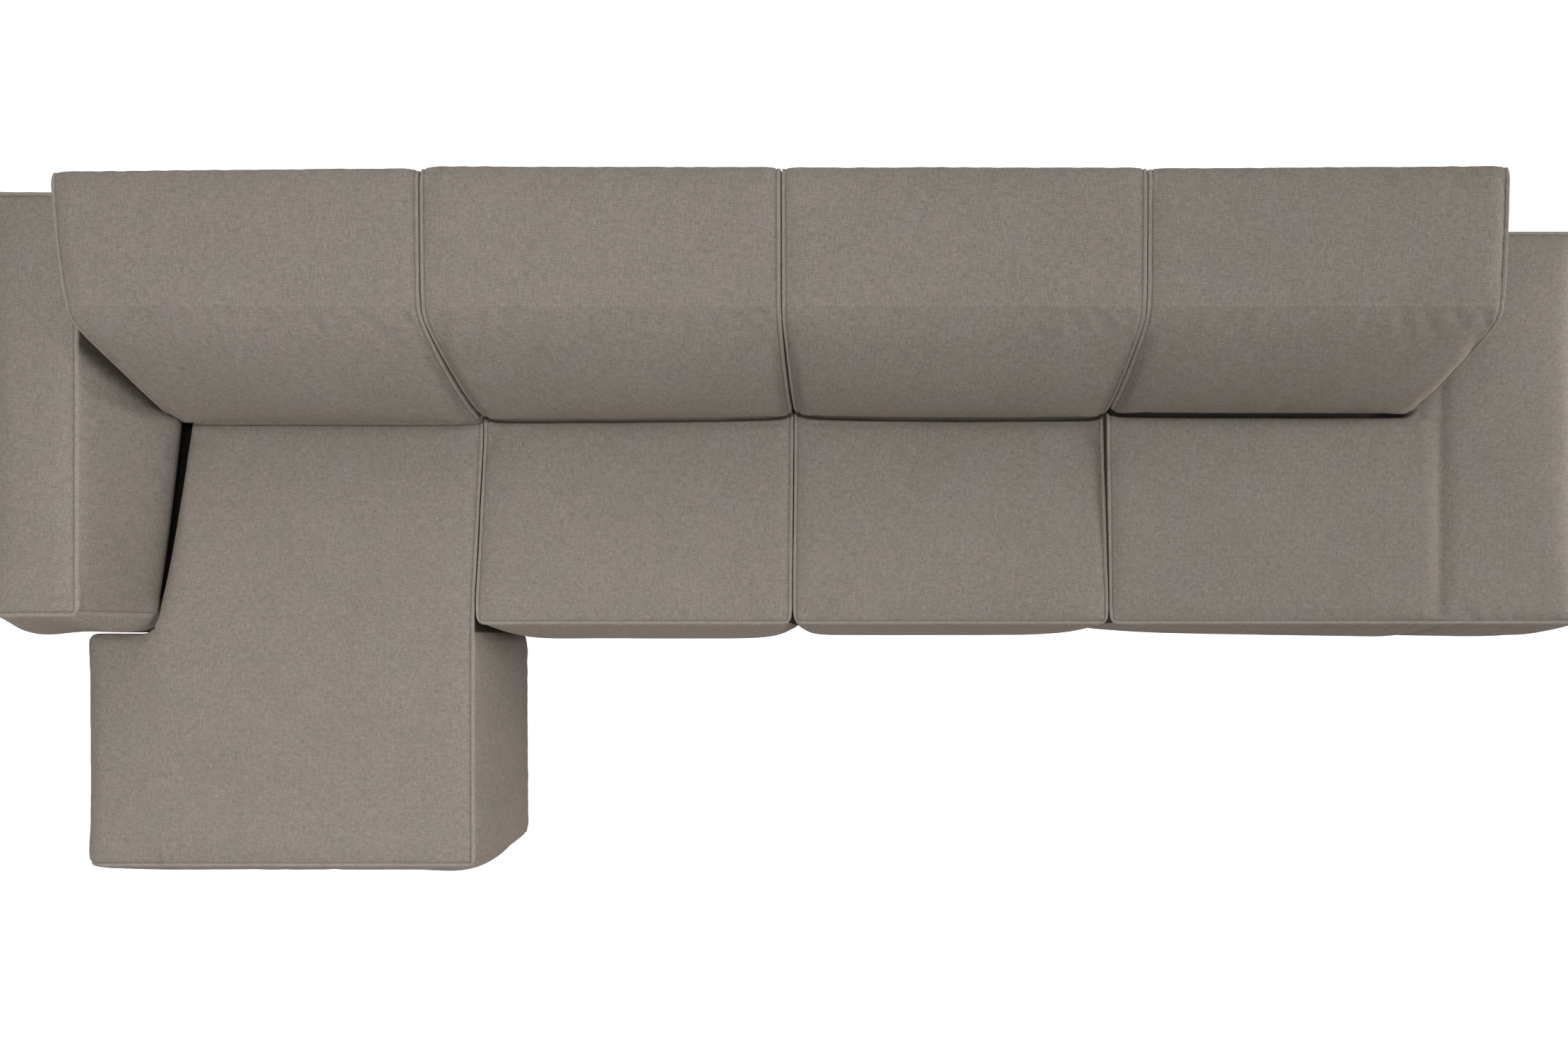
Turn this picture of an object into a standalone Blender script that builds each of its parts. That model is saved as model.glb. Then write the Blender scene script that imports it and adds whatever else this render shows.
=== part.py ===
"""Chaise sofa of four joined modules: a chaise with a left arm, two middle seats and a wide end seat.

Four headrests fold up from the tops of the backs, and the free side of the end seat folds up as an arm.
Metres, +Z up. The sofa faces -Y. The origin lies on the floor under the middle of the whole sofa.
"""
import math

import bmesh
import bpy
from mathutils import Matrix, Vector

# Layout across the sofa
MODULE_WIDTH = 0.84
MODULE_COUNT = 4
ARM_WIDTH = 0.24
END_REACH = 0.42
FOLD_OFFSET = 0.045
CHAISE_INSET = 0.05
ARM_TOP_WIDTH = 0.207
ARM_SWELL = 0.055
CHAISE_SEAT_INSET = 0.026

# Layout from the rear plane to the front seams
MODULE_DEPTH = 1.045
CHAISE_DEPTH = 1.69
ARM_DEPTH = 1.03
ARM_CLEARANCE = 0.004
HINGE_DEPTH = 0.3097
BACK_FOOT_DEPTH = 0.49
BACK_EDGE_DEPTH = 0.345

# Heights
UNDERSIDE = 0.05
FRAME_TOP = 0.25
FLAP_LEDGE_TOP = 0.27
SEAT_FRONT_HEIGHT = 0.445
SEAT_REAR_HEIGHT = 0.415
END_SEAT_HEIGHT = 0.44
ARM_HEIGHT = 0.67
BACK_LEDGE_TOP = 0.68
CREASE_HEIGHT = 0.77
BACK_EDGE_HEIGHT = 0.757
BACK_REAR_HEIGHT = 0.782

# Upholstery
SEAT_CROWN = 0.014
BACK_CROWN = 0.012
HEADREST_CROWN = 0.007
ARM_CROWN = 0.01
FRONT_BULGE = 0.035
SIDE_BULGE = 0.02
SEAM_SETBACK = 0.0015
SEAM_RADIUS = 0.01
BACK_DRAW = 0.012
FREE_BACK_DRAW = 0.03
SIDE_WALL = 0.018
FRONT_WALL = 0.03
REAR_WALL = 0.02
LEDGE_THICKNESS = 0.015

# Timber
RAIL = 0.035
CARCASS_BOARD = 0.022
FRONT_PANEL = 0.014
WEB_THICKNESS = 0.003
WEB_STRAP = 0.05

# Steel hinges
PIVOT_COVER = 0.0055
PLATE = 0.004
HINGE_WIDTH = 0.03
HINGE_SPREAD = 0.2
FLAP_HINGE_SPREAD = 0.3
HINGE_FOOT = 0.033
PIN_RADIUS = 0.0025
BORE_RADIUS = 0.0028
KNUCKLE_RADIUS = 0.0045
CUSHION_CLEARANCE = 0.005
INSERT_BORDER = 0.04
INSERT_BAR = 0.03

# Feet and connectors
FOOT_RADIUS = 0.026
FOOT_INSET = 0.032
CONNECTOR_WIDTH = 0.13
CONNECTOR_LENGTH = 0.42

# Fits
GAP = 0.0003
OVERRUN = 0.02

# Counts and shares
SEAT_CELLS = 8
ROUND_SIDES = 12
FOOT_SIDES = 20
SHARP_ANGLE = math.radians(48)
FULL_BULGE_SHARE = 0.35
BORDER_LEVEL_SHARES = (0.0, FULL_BULGE_SHARE, 0.7, 1.0)
BACK_LEVEL_SHARES = (0.0, 0.24, 0.48, 0.72, 0.9, 1.0)
BACK_DEPTH_SHARES = (1.0, 0.5, 0.0)
BACK_LEAN_SHARE = 0.48
HEADREST_LEVEL_SHARES = (0.0, 0.5, 1.0)
BOX_LEVEL_SHARES = (0.0, 1.0)
ARM_SHOULDER_SHARE = 0.82
BOTTOM_BULGE_SHARE = 0.35
END_POWER = 6

# Derived places
LENGTH = ARM_WIDTH + MODULE_COUNT * MODULE_WIDTH + END_REACH
LEFT = -LENGTH / 2
RIGHT = LENGTH / 2
REAR = (CHAISE_DEPTH + FRONT_BULGE) / 2
SEAMS = [LEFT + ARM_WIDTH + MODULE_WIDTH * index for index in range(MODULE_COUNT + 1)]
FOLD = SEAMS[-1] + FOLD_OFFSET
BACK_FRONT_DEPTH = HINGE_DEPTH + CUSHION_CLEARANCE
CARCASS_FRONT_DEPTH = BACK_FRONT_DEPTH - GAP
CARCASS_TOP = BACK_LEDGE_TOP - LEDGE_THICKNESS - PLATE - 2 * GAP
BACK_PIVOT_HEIGHT = CREASE_HEIGHT - PIVOT_COVER
FLAP_PIVOT_HEIGHT = END_SEAT_HEIGHT - PIVOT_COVER
PAD_CLEARANCE = KNUCKLE_RADIUS + GAP
FOAM_UNDERSIDE = FRAME_TOP + WEB_THICKNESS + 2 * GAP

FABRIC = ((0.27, 0.245, 0.215, 1), 0.92, 0)
TIMBER = ((0.52, 0.36, 0.2, 1), 0.7, 0)
WEBBING = ((0.06, 0.06, 0.065, 1), 0.85, 0)
STEEL = ((0.12, 0.12, 0.13, 1), 0.4, 1)
PLASTIC = ((0.02, 0.02, 0.02, 1), 0.5, 0)


def at_depth(depth):
    """World Y of a place measured forward from the rear plane."""
    return REAR - depth


def share(start, end, amount):
    return start + (end - start) * amount


def spread(start, end, cells):
    return [share(start, end, index / cells) for index in range(cells + 1)]


def collections():
    for leftover in list(bpy.data.objects):
        bpy.data.objects.remove(leftover, do_unlink=True)
    made = []
    for name in ("chaise_sofa", "cutters"):
        group = bpy.data.collections.new(name)
        bpy.context.scene.collection.children.link(group)
        made.append(group)
    return made


PARTS, CUTTERS = collections()


def finish(name, model, look):
    """Turns a bmesh into a named part with its own material."""
    bmesh.ops.recalc_face_normals(model, faces=model.faces)
    mesh = bpy.data.meshes.new(name)
    model.to_mesh(mesh)
    model.free()
    color, roughness, metallic = look
    material = bpy.data.materials.new(name)
    material.use_nodes = True
    shader = material.node_tree.nodes["Principled BSDF"]
    shader.inputs["Base Color"].default_value = color
    shader.inputs["Roughness"].default_value = roughness
    shader.inputs["Metallic"].default_value = metallic
    mesh.materials.append(material)
    part = bpy.data.objects.new(name, mesh)
    PARTS.objects.link(part)
    return part


def add_box(model, low, high):
    """Adds one box, given by two opposite corners, to a bmesh."""
    low = Vector(low)
    high = Vector(high)
    size = high - low
    place = Matrix.Translation((low + high) / 2) @ Matrix.Diagonal((*size, 1))
    bmesh.ops.create_cube(model, size=1, matrix=place)


def add_rod(model, start, end, radius, sides=ROUND_SIDES):
    """Adds one capped cylinder between two points to a bmesh."""
    start = Vector(start)
    end = Vector(end)
    run = end - start
    turn = run.to_track_quat("Z", "Y").to_matrix().to_4x4()
    place = Matrix.Translation((start + end) / 2) @ turn
    bmesh.ops.create_cone(
        model, cap_ends=True, segments=sides, radius1=radius, radius2=radius, depth=run.length, matrix=place
    )


def boxes(spans):
    model = bmesh.new()
    for low, high in spans:
        add_box(model, low, high)
    return model


def cutter(name, model):
    mesh = bpy.data.meshes.new(name)
    model.to_mesh(mesh)
    model.free()
    tool = bpy.data.objects.new(name, mesh)
    tool.hide_render = True
    tool.display_type = "WIRE"
    CUTTERS.objects.link(tool)
    return tool


def combine(part, model, operation):
    """Cuts the part with, or joins it to, the solids of a bmesh."""
    tool = cutter(f"{part.name}_{operation.lower()}_{len(part.modifiers)}", model)
    step = part.modifiers.new(operation.title(), "BOOLEAN")
    step.operation = operation
    step.object = tool
    step.solver = "EXACT"


def lattice(name, xs, ys, levels, warp, keep=None, rounded=None):
    """A block of cells on given lines, bent by warp, with its sharp convex edges rounded."""
    model = bmesh.new()
    bmesh.ops.create_grid(model, x_segments=len(xs) - 1, y_segments=len(ys) - 1, size=1)
    for vertex in model.verts:
        across = round((vertex.co.x + 1) / 2 * (len(xs) - 1))
        along = round((vertex.co.y + 1) / 2 * (len(ys) - 1))
        vertex.co = (xs[across], ys[along], 0)
    if keep:
        spare = [face for face in model.faces if not keep(face.calc_center_median())]
        bmesh.ops.delete(model, geom=spare, context="FACES")
    top = list(model.faces)
    for step, level in enumerate(levels[1:]):
        lifted = bmesh.ops.extrude_face_region(model, geom=top, use_keep_orig=True)["geom"]
        if step:
            bmesh.ops.delete(model, geom=top, context="FACES_ONLY")
        top = [item for item in lifted if isinstance(item, bmesh.types.BMFace)]
        for vertex in {corner for face in top for corner in face.verts}:
            vertex.co.z = level
    for vertex in model.verts:
        vertex.co = warp(*vertex.co)
    bmesh.ops.recalc_face_normals(model, faces=model.faces)
    edges = []
    for edge in model.edges:
        middle = (edge.verts[0].co + edge.verts[1].co) / 2
        sharp = edge.is_convex and edge.calc_face_angle(0) > SHARP_ANGLE
        if sharp and (rounded is None or rounded(middle)):
            edges.append(edge)
    if edges:
        bmesh.ops.bevel(
            model, geom=edges, offset=SEAM_RADIUS, offset_type="OFFSET", segments=2, profile=0.5,
            affect="EDGES", clamp_overlap=True,
        )
    part = finish(name, model, FABRIC)
    part.data.shade_smooth()
    part.data.set_sharp_from_angle(angle=SHARP_ANGLE)
    return part


def swell(amount):
    """Bulge of a padded border at a share of its height: none at the top seam, some at the hem."""
    if amount < FULL_BULGE_SHARE:
        return share(BOTTOM_BULGE_SHARE, 1, amount / FULL_BULGE_SHARE)
    return 1 - ((amount - FULL_BULGE_SHARE) / (1 - FULL_BULGE_SHARE)) ** 2


def centred(value, start, end):
    """Runs from -1 at the start to 1 at the end."""
    return 2 * (value - start) / (end - start) - 1


def past(value, line):
    """Whether a 32-bit coordinate lies on a line or beyond it."""
    return value > line - GAP


def short_of(value, line):
    """Whether a 32-bit coordinate lies on a line or before it."""
    return value < line + GAP


def dome(value, start, end, power=2):
    amount = min(1.0, abs(centred(value, start, end)))
    return 1 - amount ** power


def seat_top(y, front_height, rear_height):
    """Height of a seat's top seam: level under the back, then rising to the front."""
    amount = (at_depth(BACK_FOOT_DEPTH) - y) / (MODULE_DEPTH - BACK_FOOT_DEPTH)
    return share(rear_height, front_height, max(0.0, min(1.0, amount)))


def seat_cover(name, left, right, front_height, rear_height, keep=None, extra_y=None, reach=None):
    """The sewn cover and foam of one seat: a crowned top and padded borders over the base frame.

    The front border bulges from the left to reach, which is the seat's own right side if it isn't given.
    """
    reach = reach or right
    front = at_depth(MODULE_DEPTH)
    foot = at_depth(BACK_FOOT_DEPTH)
    rear = at_depth(BACK_FRONT_DEPTH)
    ys = spread(front, foot, 5) + [rear] + (extra_y or [])
    xs = spread(left, right, SEAT_CELLS)
    if keep:
        xs = spread(left, SEAMS[-1], SEAT_CELLS - 1) + [right]

    def warp(x, y, level):
        rise = SEAT_CROWN * dome(x, left, right) * (dome(y, front, foot) if y < foot else 0)
        height = seat_top(y, front_height, rear_height) + rise
        if short_of(y, front):
            y = y - FRONT_BULGE * swell(level) * dome(x, left, reach, END_POWER)
        return x, y, share(UNDERSIDE, height, level)

    return lattice(name, xs, ys, BORDER_LEVEL_SHARES, warp, keep=keep)


def chaise_cover(name, left, right):
    """The chaise's cover runs on in front of the arm to the sofa's left side."""
    outer = LEFT + CHAISE_INSET
    front = at_depth(CHAISE_DEPTH)
    step = at_depth(ARM_DEPTH + FRONT_BULGE + ARM_CLEARANCE)
    foot = at_depth(BACK_FOOT_DEPTH)
    rear = at_depth(BACK_FRONT_DEPTH)
    xs = [outer, share(outer, left, 0.5)] + spread(left, right, SEAT_CELLS - 2)
    ys = spread(front, step, 5) + spread(step, foot, 4)[1:] + [rear]

    def keep(middle):
        return middle.x > left or middle.y < step

    def warp(x, y, level):
        open_left = outer if short_of(y, step) else left
        crown = dome(x, open_left, right, 4) * (dome(y, front, foot, 4) if y < foot else 0)
        if x < left:
            crown = crown * dome(min(y, step), front, step, 2)
        height = seat_top(y, SEAT_FRONT_HEIGHT, SEAT_REAR_HEIGHT) + SEAT_CROWN * crown
        place = Vector((x, y, share(UNDERSIDE, height, level)))
        if short_of(y, front):
            place.y -= FRONT_BULGE * swell(level) * dome(x, outer, right, END_POWER)
        if y < step and short_of(x, outer):
            place.x -= SIDE_BULGE * swell(level) * dome(y, front, step, END_POWER)
        if y < step and past(x, right):
            place.x += SIDE_BULGE * swell(level) * dome(y, front, step, END_POWER)
        return place

    return lattice(name, xs, ys, BORDER_LEVEL_SHARES, warp, keep=keep)


def back_cushion(name, left, right, seat_height, left_draw, right_draw):
    """The wedge of the back: a leaning front face that rolls over to the headrest's crease."""
    foot = seat_height + GAP

    def face_depth(amount):
        fall = BACK_LEAN_SHARE * amount + (1 - BACK_LEAN_SHARE) * amount ** 2
        return share(BACK_FOOT_DEPTH, BACK_EDGE_DEPTH, fall)

    def warp(x, depth_share, level):
        across = centred(x, left, right)
        belly = BACK_CROWN * (1 - across ** 2) * 4 * level * (1 - level)
        corner = BACK_DRAW * abs(across) ** END_POWER * (1 - level)
        front = face_depth(level) + belly - corner
        depth = share(BACK_FRONT_DEPTH, front, depth_share)
        top = share(CREASE_HEIGHT, BACK_EDGE_HEIGHT, depth_share)
        draw = (right_draw if across > 0 else left_draw) * (1 - level)
        return x - across * draw, at_depth(depth), share(foot, top, level)

    def rounded(middle):
        return middle.y < at_depth(BACK_FRONT_DEPTH)

    xs = spread(left, right, SEAT_CELLS)
    return lattice(name, xs, BACK_DEPTH_SHARES, BACK_LEVEL_SHARES, warp, rounded=rounded)


def headrest_pad(name, left, right):
    """The flat pad behind the crease, which folds up about it."""
    front = at_depth(HINGE_DEPTH - PAD_CLEARANCE)
    under = BACK_LEDGE_TOP + PLATE + 2 * GAP

    def warp(x, y, level):
        rise = HEADREST_CROWN * dome(x, left, right) * dome(y, front, REAR)
        slope = (y - front) / (REAR - front)
        top = share(CREASE_HEIGHT, BACK_REAR_HEIGHT, slope) + rise
        return x, y, share(under, top, level)

    def rounded(middle):
        return middle.y > front

    xs = spread(left, right, SEAT_CELLS)
    return lattice(name, xs, spread(front, REAR, 4), HEADREST_LEVEL_SHARES, warp, rounded=rounded)


def hollow(part, spans):
    """Opens a cover from below so that its frame fits inside."""
    combine(part, boxes(spans), "DIFFERENCE")


def pockets(low, high, counts, through, edges, board):
    """Boxes that cut a block into a frame of boards; the axis named by through runs out past it."""
    cells = [None, None, None]
    for axis in range(3):
        if axis == through:
            cells[axis] = [(low[axis] - edges[0], high[axis] + edges[1])]
            continue
        count = counts[axis]
        pitch = (high[axis] - low[axis] - board) / count
        starts = [low[axis] + board + pitch * index for index in range(count)]
        cells[axis] = [(start, start + pitch - board) for start in starts]
    return [
        ((x[0], y[0], z[0]), (x[1], y[1], z[1])) for x in cells[0] for y in cells[1] for z in cells[2]
    ]


def timber_frame(name, low, high, counts, through, edges, board):
    part = finish(name, boxes([(low, high)]), TIMBER)
    combine(part, boxes(pockets(low, high, counts, through, edges, board)), "DIFFERENCE")
    return part


def base_frame(name, left, right, front):
    """A low timber frame under one seat, with rails across and along."""
    low = (left + SIDE_WALL + GAP, front + FRONT_WALL + GAP, UNDERSIDE)
    high = (right - SIDE_WALL - GAP, REAR - REAR_WALL - GAP, FRAME_TOP)
    columns = math.ceil((high[0] - low[0]) / (MODULE_WIDTH / 2))
    rows = math.ceil((high[1] - low[1]) / (MODULE_WIDTH / 2))
    return timber_frame(name, low, high, (columns, rows, 1), 2, (OVERRUN, OVERRUN), RAIL), low, high


def webbing(name, low, high):
    """Crossed elastic straps over the base frame, in front of the back."""
    start = (low[0], low[1], FRAME_TOP + GAP)
    end = (high[0], at_depth(CARCASS_FRONT_DEPTH) - GAP, FRAME_TOP + GAP + WEB_THICKNESS)
    part = finish(name, boxes([(start, end)]), WEBBING)
    rows = round((end[1] - start[1]) / (MODULE_WIDTH / 4))
    combine(part, boxes(pockets(start, end, (4, rows, 1), 2, (OVERRUN, OVERRUN), WEB_STRAP)), "DIFFERENCE")
    return part


def back_frame(name, left, right):
    """A plywood carcass behind the back cushion, closed at its front."""
    low = (left + SIDE_WALL + GAP, at_depth(CARCASS_FRONT_DEPTH), FRAME_TOP + GAP)
    high = (right - SIDE_WALL - GAP, REAR - REAR_WALL - GAP, CARCASS_TOP)
    return timber_frame(name, low, high, (3, 1, 1), 1, (-FRONT_PANEL, OVERRUN), CARCASS_BOARD)


def back_cover(name, left, right, over_base=False):
    """Padded cover on the back's sides, rear and ledge; over_base ends its right side on the base."""
    front = at_depth(CARCASS_FRONT_DEPTH)

    def warp(x, y, level):
        return x, y, share(UNDERSIDE, BACK_LEDGE_TOP, level)

    def rounded(middle):
        return middle.y > front

    part = lattice(name, spread(left, right, 4), (front, REAR), BOX_LEVEL_SHARES, warp, rounded=rounded)
    inner = (left + SIDE_WALL, front - OVERRUN, UNDERSIDE - OVERRUN)
    outer = (right - SIDE_WALL, REAR - REAR_WALL, BACK_LEDGE_TOP - LEDGE_THICKNESS)
    slot_low = (left + SIDE_WALL, front - OVERRUN, outer[2] - OVERRUN)
    slot_high = (right - SIDE_WALL, at_depth(HINGE_DEPTH - PAD_CLEARANCE), BACK_LEDGE_TOP + OVERRUN)
    hollow(part, [(inner, outer)])
    hollow(part, [(slot_low, slot_high)])
    if over_base:
        hollow(part, [(inner, (right + OVERRUN, outer[1], FRAME_TOP + GAP))])
    return part


def hinge(name, pivot, turn, height, spread_out, insert_low, insert_high):
    """Fixed bracket with pivot pins, and the moving insert whose knuckles turn on them.

    Both are modelled along local X with the free end toward local +Y, then turned and moved to the pivot.
    """
    place = Matrix.Translation(pivot) @ Matrix.Rotation(turn, 4, "Z")
    half = PLATE / 2
    reach = spread_out + 2 * HINGE_WIDTH + GAP
    foot = boxes([((-reach, -half, -height), (reach, HINGE_FOOT, -height + PLATE))])
    bracket = finish(f"{name}_hinge", foot, STEEL)
    insert = finish(f"{name}_frame", boxes([(insert_low, insert_high)]), STEEL)
    windows = math.ceil((insert_high[0] - insert_low[0]) / (MODULE_WIDTH / 2))
    window = pockets(insert_low, insert_high, (windows, 1, 1), 2, (OVERRUN, OVERRUN), INSERT_BAR)
    combine(insert, boxes(window), "DIFFERENCE")
    for side in (-1, 1):
        inner = side * spread_out
        middle = inner + side * HINGE_WIDTH
        outer = middle + side * HINGE_WIDTH
        gap = side * GAP
        upright = ((min(inner, middle), -half, -height), (max(inner, middle), half, 0))
        combine(bracket, boxes([upright]), "UNION")
        pin = bmesh.new()
        add_rod(pin, (share(inner, middle, 0.5), 0, 0), (outer, 0, 0), PIN_RADIUS)
        combine(bracket, pin, "UNION")
        near = min(middle + gap, outer)
        far = max(middle + gap, outer)
        leaf = ((near, -half, insert_low[2]), (far, half, 0))
        toe = ((near, -half, insert_low[2]), (far, insert_low[1] + INSERT_BAR / 2, insert_high[2]))
        combine(insert, boxes([leaf]), "UNION")
        combine(insert, boxes([toe]), "UNION")
        knuckle = bmesh.new()
        add_rod(knuckle, (near, 0, 0), (far, 0, 0), KNUCKLE_RADIUS)
        combine(insert, knuckle, "UNION")
        bore = bmesh.new()
        add_rod(bore, (near - OVERRUN / 4, 0, 0), (far + OVERRUN / 4, 0, 0), BORE_RADIUS)
        combine(insert, bore, "DIFFERENCE")
    for part in (bracket, insert):
        part.matrix_world = place
        for step in part.modifiers:
            step.object.matrix_world = place
    return insert


def headrest(name, left, right):
    """Hinge, steel insert and pad of one headrest, hung on its pivot axis."""
    middle = (left + right) / 2
    pivot = Vector((middle, at_depth(HINGE_DEPTH), BACK_PIVOT_HEIGHT))
    under = BACK_LEDGE_TOP + GAP - BACK_PIVOT_HEIGHT
    half = (right - left) / 2 - INSERT_BORDER
    insert_low = (-half, PAD_CLEARANCE, under)
    insert_high = (half, HINGE_DEPTH - INSERT_BORDER, under + PLATE)
    height = BACK_PIVOT_HEIGHT - CARCASS_TOP - GAP
    insert = hinge(f"{name}_headrest", pivot, 0, height, HINGE_SPREAD, insert_low, insert_high)
    pad = headrest_pad(f"{name}_headrest_pad", left, right)
    hang(pad, insert)


def hang(piece, carrier):
    """Gives a piece the carrier's origin, so that both turn about the joint."""
    shift = carrier.matrix_world.inverted()
    piece.data.transform(shift)
    piece.matrix_world = carrier.matrix_world


def seat_module(name, left, right, seat_height):
    """Everything that all four modules share above the base."""
    back_frame(f"{name}_back_frame", left, right)
    back_cover(f"{name}_back_cover", left, right, over_base=name == "end")
    draws = (
        FREE_BACK_DRAW if name == "chaise" else 0,
        FREE_BACK_DRAW if name == "end" else 0,
    )
    back_cushion(f"{name}_back_cushion", left, right, seat_height, *draws)
    headrest(name, left, right)


def middle_module(name, left, right):
    _, low, high = base_frame(f"{name}_base_frame", left, right, at_depth(MODULE_DEPTH))
    webbing(f"{name}_seat_webbing", low, high)
    cover = seat_cover(f"{name}_seat_cover", left, right, SEAT_FRONT_HEIGHT, SEAT_REAR_HEIGHT)
    inside = (left + SIDE_WALL, at_depth(MODULE_DEPTH) + FRONT_WALL, UNDERSIDE - OVERRUN)
    hollow(cover, [(inside, (right - SIDE_WALL, REAR, FOAM_UNDERSIDE))])
    seat_module(name, left, right, SEAT_REAR_HEIGHT)
    return low, high


def chaise_module(name, left, right):
    """The chaise's base reaches left in front of the arm."""
    front = at_depth(CHAISE_DEPTH)
    seat_left = left + CHAISE_SEAT_INSET
    outer = LEFT + CHAISE_INSET
    step = at_depth(ARM_DEPTH + FRONT_BULGE + ARM_CLEARANCE)
    frame, low, high = base_frame(f"{name}_base_frame", seat_left, right, front)
    wing_low = (outer + SIDE_WALL + GAP, low[1], UNDERSIDE)
    wing_high = (low[0] + RAIL / 2, step - SIDE_WALL - GAP, FRAME_TOP)
    combine(frame, boxes([(wing_low, wing_high)]), "UNION")
    wing_cells = pockets(wing_low, (low[0] + RAIL, *wing_high[1:]), (1, 2, 1), 2, (OVERRUN, OVERRUN), RAIL)
    combine(frame, boxes(wing_cells), "DIFFERENCE")
    webbing(f"{name}_seat_webbing", low, high)
    cover = chaise_cover(f"{name}_seat_cover", seat_left, right)
    inside = (seat_left + SIDE_WALL, front + FRONT_WALL, UNDERSIDE - OVERRUN)
    hollow(cover, [(inside, (right - SIDE_WALL, REAR, FOAM_UNDERSIDE))])
    wing_inside = (outer + SIDE_WALL, front + FRONT_WALL, UNDERSIDE - OVERRUN)
    hollow(cover, [(wing_inside, (seat_left + 2 * SIDE_WALL, step - SIDE_WALL, FOAM_UNDERSIDE))])
    seat_module(name, left, right, SEAT_REAR_HEIGHT)
    return (wing_low[0], low[1], low[2]), high


def arm(name):
    """The left arm: a timber box frame under a padded cover whose inner face leans out to the seat."""
    front = at_depth(ARM_DEPTH)
    back_plane = at_depth(BACK_FRONT_DEPTH)
    inner = LEFT + ARM_TOP_WIDTH
    flank = LEFT + ARM_WIDTH - SEAM_SETBACK

    def warp(x, y, level):
        across = (x - LEFT) / ARM_TOP_WIDTH
        height = ARM_HEIGHT + ARM_CROWN * dome(x, LEFT, inner) * dome(y, front, REAR, END_POWER)
        z = share(UNDERSIDE, height, level)
        drop = min(1.0, (ARM_HEIGHT - z) / (ARM_HEIGHT - SEAT_FRONT_HEIGHT))
        reach = flank - inner if past(y, back_plane) else ARM_SWELL
        if short_of(y, front):
            reach = ARM_SWELL / 2
        place = Vector((x + across * reach * max(0.0, drop), y, z))
        if short_of(x, LEFT):
            place.x -= SIDE_BULGE * swell(level) * dome(y, front, REAR, END_POWER)
        if short_of(y, front):
            place.y -= FRONT_BULGE * swell(level) * dome(x, LEFT, inner, END_POWER)
        return place

    xs = spread(LEFT, inner, 4)
    ys = spread(front, back_plane - OVERRUN, 6) + [back_plane, REAR]
    seat_level = (SEAT_FRONT_HEIGHT - UNDERSIDE) / (ARM_HEIGHT - UNDERSIDE)
    levels = (0.0, FULL_BULGE_SHARE, seat_level, ARM_SHOULDER_SHARE, 1.0)
    cover = lattice(f"{name}_cover", xs, ys, levels, warp)
    low = (LEFT + SIDE_WALL + GAP, front + FRONT_WALL + GAP, UNDERSIDE)
    high = (inner - SIDE_WALL - GAP, REAR - REAR_WALL - GAP, ARM_HEIGHT - REAR_WALL - GAP)
    frame_edges = (OVERRUN, -FRONT_PANEL)
    timber_frame(f"{name}_frame", low, high, (1, 3, 2), 0, frame_edges, CARCASS_BOARD)
    inside = (low[0] - GAP, low[1] - GAP, UNDERSIDE - OVERRUN)
    hollow(cover, [(inside, (high[0] + GAP, high[1] + GAP, high[2] + GAP))])
    return low, high


def end_module(name, left, right):
    """The wide end seat, whose free side folds up about the fold line."""
    side = RIGHT
    front = at_depth(MODULE_DEPTH)
    _, low, high = base_frame(f"{name}_base_frame", left, side, front)
    webbing(f"{name}_seat_webbing", low, (FOLD - SIDE_WALL, high[1], high[2]))
    seat_right = FOLD - CUSHION_CLEARANCE

    def keep(middle):
        return middle.x > right or middle.y < at_depth(BACK_FRONT_DEPTH)

    cover = seat_cover(
        f"{name}_seat_cover", left, seat_right, END_SEAT_HEIGHT, END_SEAT_HEIGHT,
        keep=keep, extra_y=[REAR], reach=side,
    )
    inside = (left + SIDE_WALL, front + FRONT_WALL, UNDERSIDE - OVERRUN)
    hollow(cover, [(inside, (side, REAR - REAR_WALL, FOAM_UNDERSIDE))])
    seat_module(name, left, right, END_SEAT_HEIGHT)
    flap(left, front, side)
    return low, high


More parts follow.
